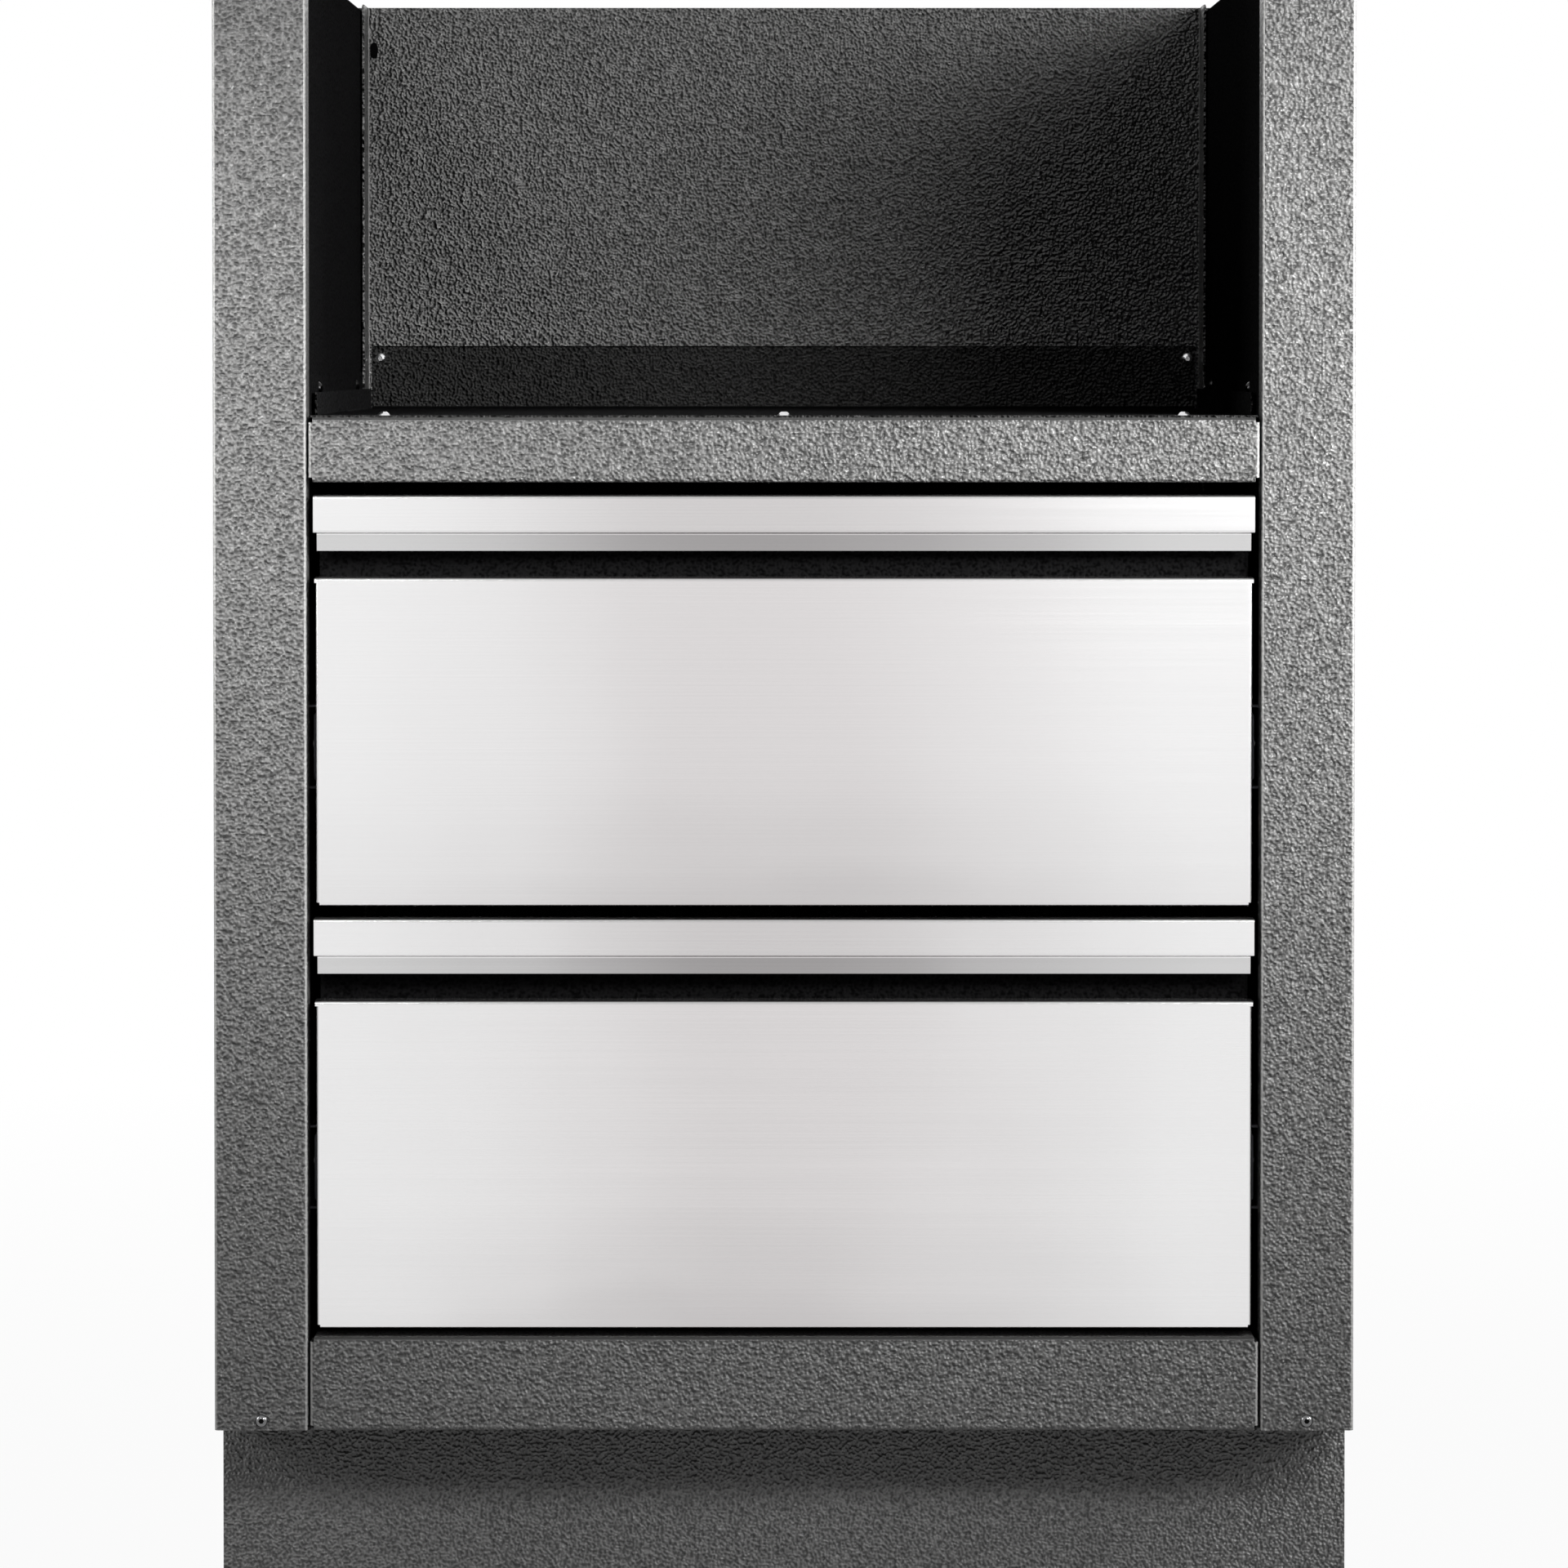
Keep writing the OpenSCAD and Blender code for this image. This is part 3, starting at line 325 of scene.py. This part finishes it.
def plated(name, cloud_scale, first, second, metallic, rough, smooth, cloud_share):
    """Zinc plate over rolling lines, with faint clouds of its two tints."""
    material, graph = new_graph(name)
    place = graph.place()
    clouds = graph.noise(place, cloud_scale, 3, 0.6)
    lines = graph.noise(graph.stretched(place, ROLL_LINES), 1, 2)
    dulling = clouds * cloud_share + lines * (1 - cloud_share)
    graph.surface(
        base_color=graph.mix(clouds, first, second),
        metallic=metallic,
        roughness=graph.ramp(dulling, [(0.3, rough), (0.7, smooth)]),
        normal=graph.bump(lines, LINE_DEPTH, 0.3),
    )
    return material


def zinc_plate(name, colour):
    """Bright zinc plate, warm and cool in turn."""
    warm = tinted((colour[0] * 1.03, colour[1], colour[2] * 0.94))
    cool = tinted((colour[0] * 0.95, colour[1], colour[2] * 1.04))
    return plated(name, 60, warm, cool, metallic=1.0, rough=0.38, smooth=0.26, cloud_share=0.6)


def black_plate(name, colour):
    """Black zinc plate, satin, with a bluish tint in places."""
    plain = tinted(colour, 0.7)
    bluish = tinted((colour[0], colour[1], colour[2] * 1.12), 1.5)
    return plated(name, 45, plain, bluish, metallic=0.6, rough=0.5, smooth=0.34, cloud_share=0.5)


def polished(name, colour, rough=0.18):
    """Turned and polished steel of screws and balls, with painted shade in the sockets."""
    material, graph = new_graph(name)
    clouds = graph.noise(graph.place(), 700, 2)
    steel = graph.mix(clouds, tinted(colour, 0.9), tinted(colour, 1.05))
    # The sockets are painted near black, painted shade.
    graph.surface(
        base_color=graph.mix(graph.attribute("socket"), steel, grey(0.004)),
        metallic=1.0,
        roughness=graph.ramp(clouds, [(0.3, rough + 0.1), (0.7, rough)]),
    )
    return material


def moulded(name, colour, gloss=0.4):
    """Moulded black plastic with a fine grain."""
    material, graph = new_graph(name)
    grain = graph.noise(graph.place(), 2200, 3, 0.6)
    clouds = graph.noise(graph.place(), 90, 2)
    graph.surface(
        base_color=graph.mix(clouds, tinted(colour, 0.8), tinted(colour, 1.4)),
        roughness=graph.ramp(grain, [(0.3, 0.62), (0.7, 0.48)]),
        specular_ior_level=gloss,
        normal=graph.bump(grain, 0.00008, 0.6),
    )
    return material


def reach(node):
    """Lowest and highest place of a CAD node."""
    heights = [corner.co.z for corner in frame["nodes"][node].data.vertices]
    return min(heights), max(heights)


def put_on(piece, material):
    piece.data.materials.clear()
    piece.data.materials.append(material)


def put_on_faces(piece, material, chosen):
    """Gives the faces whose normal is one of the chosen a material of their own."""
    piece.data.materials.append(material)
    for face in piece.data.polygons:
        if chosen(face.normal):
            face.material_index = len(piece.data.materials) - 1


def finish_node(node, material):
    """Keeps a CAD node as it is and gives it its finish."""
    for place in frame["nodes"][node].material_slots:
        place.material = material


def merged(node):
    """A copy of a CAD node's mesh, its loose triangles joined."""
    shell = bmesh.new()
    shell.from_mesh(frame["nodes"][node].data)
    bmesh.ops.remove_doubles(shell, verts=shell.verts, dist=SAME_POINT)
    return shell


def stand_in(node, shell, mark, material):
    """Makes a shell the visible piece in a CAD node's place, once its faces are marked."""
    mesh = bpy.data.meshes.new(node + "_finished")
    shell.to_mesh(mesh)
    shell.free()
    if "custom_normal" in mesh.attributes:
        mesh.attributes.remove(mesh.attributes["custom_normal"])
    mark(mesh)
    piece = bpy.data.objects.new(node + "_finished", mesh)
    bpy.context.scene.collection.objects.link(piece)
    mesh.shade_smooth()
    mesh.set_sharp_from_angle(angle=SMOOTH_EDGE)
    put_on(piece, material)
    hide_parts(node)
    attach(piece, frame["nodes"][node]["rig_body"])
    return piece


def mark_bends(mesh):
    """Notes on each face how squarely it stands in a bend, upright or level, and if it looks up."""
    upright = mesh.attributes.new("upright_bend", "FLOAT", "FACE")
    level = mesh.attributes.new("level_bend", "FLOAT", "FACE")
    top = mesh.attributes.new("top", "FLOAT", "FACE")
    for face in mesh.polygons:
        across, along, up = face.normal
        upright.data[face.index].value = min(1, abs(across * along) * 2) ** 3
        level.data[face.index].value = min(1, max(0, -along * up) * 3)
        top.data[face.index].value = float(up > NEARLY_ALONG)


def finish_sheet(node, material, rounding):
    """Stands a copy of a sheet in its place, its bends smooth and its cut edges rounded."""
    shell = merged(node)
    bmesh.ops.dissolve_limit(
        shell, angle_limit=SAME_FLAT, verts=shell.verts, edges=shell.edges)
    cut = [edge for edge in shell.edges if edge.is_manifold and edge.calc_face_angle() > CUT_EDGE]
    bmesh.ops.bevel(
        shell, geom=cut, offset=rounding, offset_type="OFFSET", segments=2, profile=0.5,
        affect="EDGES", material=-1, clamp_overlap=True, loop_slide=True,
    )
    piece = stand_in(node, shell, mark_bends, material)
    weighting = piece.modifiers.new("Even shading", "WEIGHTED_NORMAL")
    weighting.keep_sharp = True
    return piece


def joined_faces(face, waiting):
    """Takes out of the waiting faces all those that hang together with a face, and gives them."""
    found = {face}
    newest = {face}
    while newest:
        near = {other for each in newest for edge in each.edges for other in edge.link_faces}
        newest = near & waiting
        waiting -= newest
        found |= newest
    return found


def mark_sockets(mesh):
    """Notes on each face of a group of screws whether it is in a socket."""
    shell = bmesh.new()
    shell.from_mesh(mesh)
    inside = [0.0] * len(shell.faces)
    waiting = set(shell.faces)
    while waiting:
        screw = joined_faces(waiting.pop(), waiting)
        corners = [corner.co for face in screw for corner in face.verts]
        low = Vector([min(c[i] for c in corners) for i in range(3)])
        high = Vector([max(c[i] for c in corners) for i in range(3)])
        size = high - low
        lengthwise = max(range(3), key=lambda i: size[i])
        head = max(size[i] for i in range(3) if i != lengthwise)
        for face in screw:
            out = face.calc_center_median() - (low + high) / 2
            out[lengthwise] = 0
            floor = abs(face.normal[lengthwise]) > EXACTLY_ALONG
            wall = face.normal.dot(out) <= 0
            if out.length < head * SOCKET_REACH and (floor or wall):
                inside[face.index] = 1.0
    shell.free()
    socket = mesh.attributes.new("socket", "FLOAT", "FACE")
    socket.data.foreach_set("value", inside)


def finish_screws(node, material):
    """Stands a copy of a group of screws in its place, with its sockets marked."""
    return stand_in(node, merged(node), mark_sockets, material)


def area_light(name, place, target, size, power, spread):
    """Soft box that lights the object and is itself never seen."""
    lamp = bpy.data.lights.new(name, "AREA")
    lamp.shape = "RECTANGLE"
    lamp.size, lamp.size_y = size
    lamp.energy = power
    lamp.spread = math.radians(spread)
    box = bpy.data.objects.new(name, lamp)
    box.location = place
    box.rotation_euler = (Vector(target) - Vector(place)).to_track_quat("-Z", "Y").to_euler()
    box.visible_camera = False
    bpy.context.scene.collection.objects.link(box)


class CabinetLooks(bpy.types.PropertyGroup):
    """Colours and surface sizes of the finishes."""

    paint: FloatVectorProperty(
        name="Paint", description="Colour of the outer powder coat", subtype="COLOR",
        default=(0.1, 0.0996, 0.098), min=0, max=1)
    inner_paint: FloatVectorProperty(
        name="Inner paint", description="Colour of the powder coat inside", subtype="COLOR",
        default=(0.018, 0.018, 0.0185), min=0, max=1)
    grain: FloatProperty(
        name="Grain", description="Width of the blobs in the paint", default=0.0016,
        unit="LENGTH")
    relief: FloatProperty(
        name="Relief", description="Height of the blobs in the paint", default=0.0023,
        unit="LENGTH")
    # A painted highlight: how many times brighter the paint is over the upright bends.
    bend_highlight: FloatProperty(
        name="Bend highlight", default=3.4, min=0,
        description="How many times brighter the paint is over the upright bends")
    # A painted shadow line: height of the black edge along the top of the bay floor's upstand.
    shadow_line: FloatProperty(
        name="Brim", default=0.0009, unit="LENGTH",
        description="Height of the dark edge along the top of the bay floor's upstand")
    edge: FloatProperty(
        name="Cut edge", description="Rounding of the cut edges of the sheets",
        default=0.00025, unit="LENGTH")
    steel: FloatVectorProperty(
        name="Steel", description="Colour of the stainless fronts", subtype="COLOR",
        default=(0.818, 0.814, 0.816), min=0, max=1)
    # The colour at the middle of the fronts is a painted dark reflection, darker than their ends.
    steel_middle_shade: FloatVectorProperty(
        name="Steel middle", description="Colour of the stainless fronts at their middle",
        subtype="COLOR", default=(0.68, 0.658, 0.66), min=0, max=1)
    steel_roughness: FloatProperty(
        name="Steel roughness", description="Roughness of the brushing", default=0.18,
        min=0, max=1)
    strip: FloatProperty(
        name="Strip", description="Height of the strip below a handle's band", default=0.0085,
        unit="LENGTH")
    zinc: FloatVectorProperty(
        name="Zinc", description="Colour of the zinc plate", subtype="COLOR",
        default=(0.62, 0.63, 0.65), min=0, max=1)
    black_zinc: FloatVectorProperty(
        name="Black zinc", description="Colour of the black zinc plate", subtype="COLOR",
        default=(0.035, 0.035, 0.038), min=0, max=1)
    screw: FloatVectorProperty(
        name="Screw", description="Colour of screws and balls", subtype="COLOR",
        default=(0.78, 0.78, 0.79), min=0, max=1)
    plastic: FloatVectorProperty(
        name="Plastic", description="Colour of the feet", subtype="COLOR",
        default=(0.02, 0.02, 0.021), min=0, max=1)


class CabinetStage(bpy.types.PropertyGroup):
    """Camera, floor and light."""

    camera_back: FloatProperty(
        name="Camera distance", description="From the middle of the cabinet to the camera",
        default=4.443, unit="LENGTH")
    camera_height: FloatProperty(
        name="Camera height", description="Height of the lens above the floor",
        default=0.6743, unit="LENGTH")
    camera_dip: FloatProperty(
        name="Camera dip", description="How far the camera looks down",
        default=math.radians(1.727), subtype="ANGLE")
    lens: FloatProperty(
        name="Lens", description="Focal length in millimetres", default=178.2, min=1)
    shift: FloatProperty(name="Shift", description="Vertical shift of the frame", default=-0.12)
    floor_size: FloatProperty(
        name="Floor", description="Width of the floor", default=60, unit="LENGTH")
    ambient: FloatProperty(
        name="Ambient", description="Strength of the light from all round", default=0.06,
        min=0, max=1)
    key: FloatProperty(
        name="Key", description="Power of the soft box in front", default=4.3, unit="POWER")
    fill: FloatProperty(
        name="Fill", description="Power of the soft boxes at the sides", default=9,
        unit="POWER")


class CABINET_OT_stage(bpy.types.Operator):
    """Make the floor, the light and the camera"""

    bl_idname = "cabinet.stage"
    bl_label = "Stage"

    def execute(self, context):
        stage = context.scene.cabinet_stage
        self.make_world(context.scene, stage)
        self.make_floor(context.scene, stage)
        for name, place, target, size, power, share, spread in LAMPS:
            area_light(name, place, target, size, getattr(stage, power) * share, spread)
        self.make_camera(context.scene, stage)
        return {"FINISHED"}

    @staticmethod
    def seen_directly(graph):
        """1 for rays from the camera, a mirror or glass, and 0 for light that only scatters."""
        path = graph.tree.nodes.new("ShaderNodeLightPath")
        camera, glossy, through = (
            Value(graph, path.outputs[name])
            for name in ("Is Camera Ray", "Is Glossy Ray", "Is Transmission Ray")
        )
        return graph.math("MINIMUM", camera + glossy + through, 1)

    def make_world(self, scene, stage):
        scene.world = bpy.data.worlds.new("Studio")
        graph = Graph(scene.world)
        strength = self.seen_directly(graph) * (1 - stage.ambient) + stage.ambient
        sky = graph.node("ShaderNodeBackground", {}, {"Color": grey(1), "Strength": strength})
        graph.node("ShaderNodeOutputWorld", {}, {"Surface": sky})
        scene.view_settings.view_transform = "Standard"

    def make_floor(self, scene, stage):
        """Lays a floor that looks white but keeps a trace of the shadow near the object."""
        sheet = bmesh.new()
        bmesh.ops.create_grid(sheet, x_segments=12, y_segments=12, size=stage.floor_size / 2)
        mesh = bpy.data.meshes.new("floor")
        sheet.to_mesh(mesh)
        sheet.free()
        floor = bpy.data.objects.new("floor", mesh)
        scene.collection.objects.link(floor)
        material, graph = new_graph("pale_floor")
        matte = graph.node("ShaderNodeBsdfDiffuse", {}, {"Color": grey(0.3)})
        white = graph.node("ShaderNodeEmission", {}, {"Color": grey(1), "Strength": 1})
        far = graph.node("ShaderNodeVectorMath", {"operation": "LENGTH"}, {0: graph.place()}, 1)
        whiteness = graph.ramp(far * 0.25, [(0.15, 0.95), (0.7, 1)])
        share = self.seen_directly(graph) * whiteness
        both = graph.node("ShaderNodeMixShader", {}, {0: share, 1: matte, 2: white})
        graph.node("ShaderNodeOutputMaterial", {}, {"Surface": both})
        put_on(floor, material)

    def make_camera(self, scene, stage):
        lens = bpy.data.cameras.new("camera")
        lens.lens = stage.lens
        lens.shift_y = stage.shift
        lens.clip_end = 100
        camera = bpy.data.objects.new("camera", lens)
        camera.location = (0, -stage.camera_back, stage.camera_height)
        camera.rotation_euler = (math.pi / 2 - stage.camera_dip, 0, 0)
        scene.collection.objects.link(camera)
        scene.camera = camera


class CABINET_OT_carcass(bpy.types.Operator):
    """Coat the side panels, the rails, the toe kick and the lower back panel"""

    bl_idname = "cabinet.carcass"
    bl_label = "Carcass"

    def execute(self, context):
        looks = context.scene.cabinet_looks
        coat = hammertone("hammertone_paint", looks.paint, looks)
        for node in ("left_side_panel", "right_side_panel", "middle_rail", "bottom_rail",
                     "lower_back_panel"):
            finish_sheet(node, coat, looks.edge)
        # The toe kick takes the paint half as bright again, painted light.
        lit_coat = hammertone("lit_toe_kick_paint", tinted(looks.paint, 1.5), looks)
        finish_sheet("toe_kick", lit_coat, looks.edge)
        return {"FINISHED"}


class CABINET_OT_bay(bpy.types.Operator):
    """Coat the sheets that line the burner bay"""

    bl_idname = "cabinet.bay"
    bl_label = "Burner bay"

    def execute(self, context):
        looks = context.scene.cabinet_looks
        self.coat_back(looks)
        self.coat_floor(looks)
        # The liners and floor angles take the inner coat at half its colour, the halving painted
        # shade.
        black = hammertone("inner_paint", tinted(looks.inner_paint, 0.5), looks, gloss=0)
        for side in SIDES:
            finish_sheet(f"{side}_liner", black, looks.edge)
            finish_sheet(f"{side}_floor_angle", black, looks.edge)
        return {"FINISHED"}

    @staticmethod
    def coat_back(looks):
        """Coats the back panel: its bay side brighter as painted light, its rear, and its forward
        flanges darker as painted shade.
        """
        # Painted light on the bay side, at 1.75 times the paint; painted shade on the flanges, at
        # 0.6.
        inside = hammertone(
            "lit_bay_paint", tinted(looks.paint, 1.75), looks, gloss=0.5, roughness=0.2, depth=3)
        outside = hammertone("back_paint", looks.paint, looks)
        flange = hammertone("shaded_flange_paint", tinted(looks.paint, 0.6), looks, gloss=0.3)
        back = finish_sheet("bay_back_panel", inside, looks.edge)
        put_on_faces(back, outside, lambda normal: normal.y > ROUGHLY_ALONG)
        put_on_faces(
            back, flange,
            lambda normal: abs(normal.x) > ROUGHLY_ALONG and normal.y <= ROUGHLY_ALONG)

    @staticmethod
    def coat_floor(looks):
        """Coats the bay floor: its rear upstand, and all that lies level or along the sides, both
        darkened as painted shade.
        """
        # Painted shade: the upstand takes a quarter of the paint, with a black painted shadow line
        # along its top, and the level faces the inner coat at 0.8.
        shadow_line = reach("bay_floor")[1] - looks.shadow_line
        upstand = hammertone(
            "shaded_pan_paint", tinted(looks.paint, 0.25), looks, gloss=0.12, roughness=0.2, depth=2,
            shadow_from=shadow_line)
        matt = hammertone("shaded_pan_floor_paint", tinted(looks.inner_paint, 0.8), looks, gloss=0)
        floor = finish_sheet("bay_floor", upstand, looks.edge)
        put_on_faces(floor, matt, lambda normal: abs(normal.y) < NEARLY_ALONG)


class CABINET_OT_plinth(bpy.types.Operator):
    """Coat the plinth and the bottom panel, and plate the foot plates"""

    bl_idname = "cabinet.plinth"
    bl_label = "Plinth"

    def execute(self, context):
        looks = context.scene.cabinet_looks
        coat = hammertone("plinth_paint", looks.paint, looks, gloss=0.4)
        for node in ("plinth_left", "plinth_right", "plinth_rear"):
            finish_sheet(node, coat, looks.edge)
        black = hammertone("bottom_paint", looks.inner_paint, looks, gloss=0.1)
        finish_sheet("bottom_panel", black, looks.edge)
        finish_sheet("foot_plates", zinc_plate("plate_zinc", looks.zinc), looks.edge)
        return {"FINISHED"}


class CABINET_OT_drawer_fronts(bpy.types.Operator):
    """Brush the faces and handles of the drawers"""

    bl_idname = "cabinet.drawer_fronts"
    bl_label = "Drawer fronts"

    def execute(self, context):
        looks = context.scene.cabinet_looks
        # The inner fronts take the inner coat at a fifth, painted shade in the finger gap.
        black = hammertone(
            "shaded_inner_front_paint", tinted(looks.inner_paint, 0.2), looks, gloss=0, roughness=0.3,
            depth=0.3)
        for level in LEVELS:
            face = f"{level}_drawer_face"
            steel = brushed_face(f"{level}_face_steel", looks, reach(face)[0])
            finish_sheet(face, steel, looks.edge)
            handle = f"{level}_drawer_handle"
            strip = reach(handle)[0] + looks.strip
            steel = brushed_handle(f"{level}_handle_steel", looks, strip)
            finish_sheet(handle, steel, looks.edge)
            finish_sheet(f"{level}_drawer_inner_front", black, looks.edge)
        return {"FINISHED"}


class CABINET_OT_drawer_boxes(bpy.types.Operator):
    """Coat the boxes of the drawers"""

    bl_idname = "cabinet.drawer_boxes"
    bl_label = "Drawer boxes"

    def execute(self, context):
        looks = context.scene.cabinet_looks
        black = hammertone("box_paint", looks.inner_paint, looks, gloss=0.15)
        for level in LEVELS:
            for part in ("left_side", "right_side", "back", "bottom"):
                finish_sheet(f"{level}_drawer_{part}", black, looks.edge)
        return {"FINISHED"}


class CABINET_OT_runners(bpy.types.Operator):
    """Plate the members and cages of the runners, and polish their balls"""

    bl_idname = "cabinet.runners"
    bl_label = "Runners"

    def execute(self, context):
        looks = context.scene.cabinet_looks
        zinc = zinc_plate("cage_zinc", looks.zinc)
        black = black_plate("runner_black", looks.black_zinc)
        steel = polished("ball_steel", looks.screw)
        for level in LEVELS:
            for side in SIDES:
                finish_sheet(f"{level}_{side}_outer_runner", black, looks.edge)
                finish_sheet(f"{level}_{side}_inner_runner", black, looks.edge)
            finish_sheet(f"{level}_middle_runners", black, looks.edge)
            for row in ("outer", "inner"):
                finish_node(f"{level}_{row}_cages", zinc)
                finish_node(f"{level}_{row}_balls", steel)
        return {"FINISHED"}


class CABINET_OT_screws(bpy.types.Operator):
    """Polish the screws"""

    bl_idname = "cabinet.screws"
    bl_label = "Screws"

    def execute(self, context):
        looks = context.scene.cabinet_looks
        bright = polished("screw_steel", looks.screw)
        for node in ("bay_screws", "runner_screws", "upper_drawer_screws", "lower_drawer_screws"):
            finish_screws(node, bright)
        # The post screws are darkened to a fifth, a painted dark reflection of their surroundings.
        painted_dark_reflection = polished("post_screw_steel", tinted(looks.screw, 0.2), rough=0.12)
        finish_screws("post_screws", painted_dark_reflection)
        dark = polished("angle_screw_steel", tinted(looks.screw, 0.04), rough=0.16)
        finish_screws("angle_screws", dark)
        return {"FINISHED"}


class CABINET_OT_feet(bpy.types.Operator):
    """Give the levelling feet and the slot plug their moulded plastic"""

    bl_idname = "cabinet.feet"
    bl_label = "Feet"

    def execute(self, context):
        looks = context.scene.cabinet_looks
        plastic = moulded("black_plastic", looks.plastic)
        for corner in CORNERS:
            finish_node(f"{corner}_foot", plastic)
        # The slot plug is darkened to a tenth of the plastic, painted shade in its slot.
        finish_node("slot_plug", moulded("shaded_plug_plastic", tinted(looks.plastic, 0.1), gloss=0))
        return {"FINISHED"}


STEPS = (
    CABINET_OT_stage, CABINET_OT_carcass, CABINET_OT_bay, CABINET_OT_plinth,
    CABINET_OT_drawer_fronts, CABINET_OT_drawer_boxes, CABINET_OT_runners, CABINET_OT_screws,
    CABINET_OT_feet,
)


class CABINET_PT_panel(bpy.types.Panel):
    """Lists the steps and what they can be set to"""

    bl_idname = "CABINET_PT_panel"
    bl_label = "Outdoor kitchen cabinet"
    bl_space_type = "VIEW_3D"
    bl_region_type = "UI"
    bl_category = "Cabinet"

    def draw(self, context):
        for group in (context.scene.cabinet_looks, context.scene.cabinet_stage):
            for name in group.__annotations__:
                self.layout.prop(group, name)
        for step in STEPS:
            self.layout.operator(step.bl_idname)


CLASSES = (CabinetLooks, CabinetStage, *STEPS, CABINET_PT_panel)


def register():
    for item in CLASSES:
        bpy.utils.register_class(item)
    bpy.types.Scene.cabinet_looks = PointerProperty(type=CabinetLooks)
    bpy.types.Scene.cabinet_stage = PointerProperty(type=CabinetStage)


def unregister():
    del bpy.types.Scene.cabinet_stage
    del bpy.types.Scene.cabinet_looks
    for item in reversed(CLASSES):
        bpy.utils.unregister_class(item)


def main():
    register()
    bpy.ops.cabinet.stage()
    bpy.ops.cabinet.carcass()
    bpy.ops.cabinet.bay()
    bpy.ops.cabinet.plinth()
    bpy.ops.cabinet.drawer_fronts()
    bpy.ops.cabinet.drawer_boxes()
    bpy.ops.cabinet.runners()
    bpy.ops.cabinet.screws()
    bpy.ops.cabinet.feet()


if __name__ == "__main__":
    main()
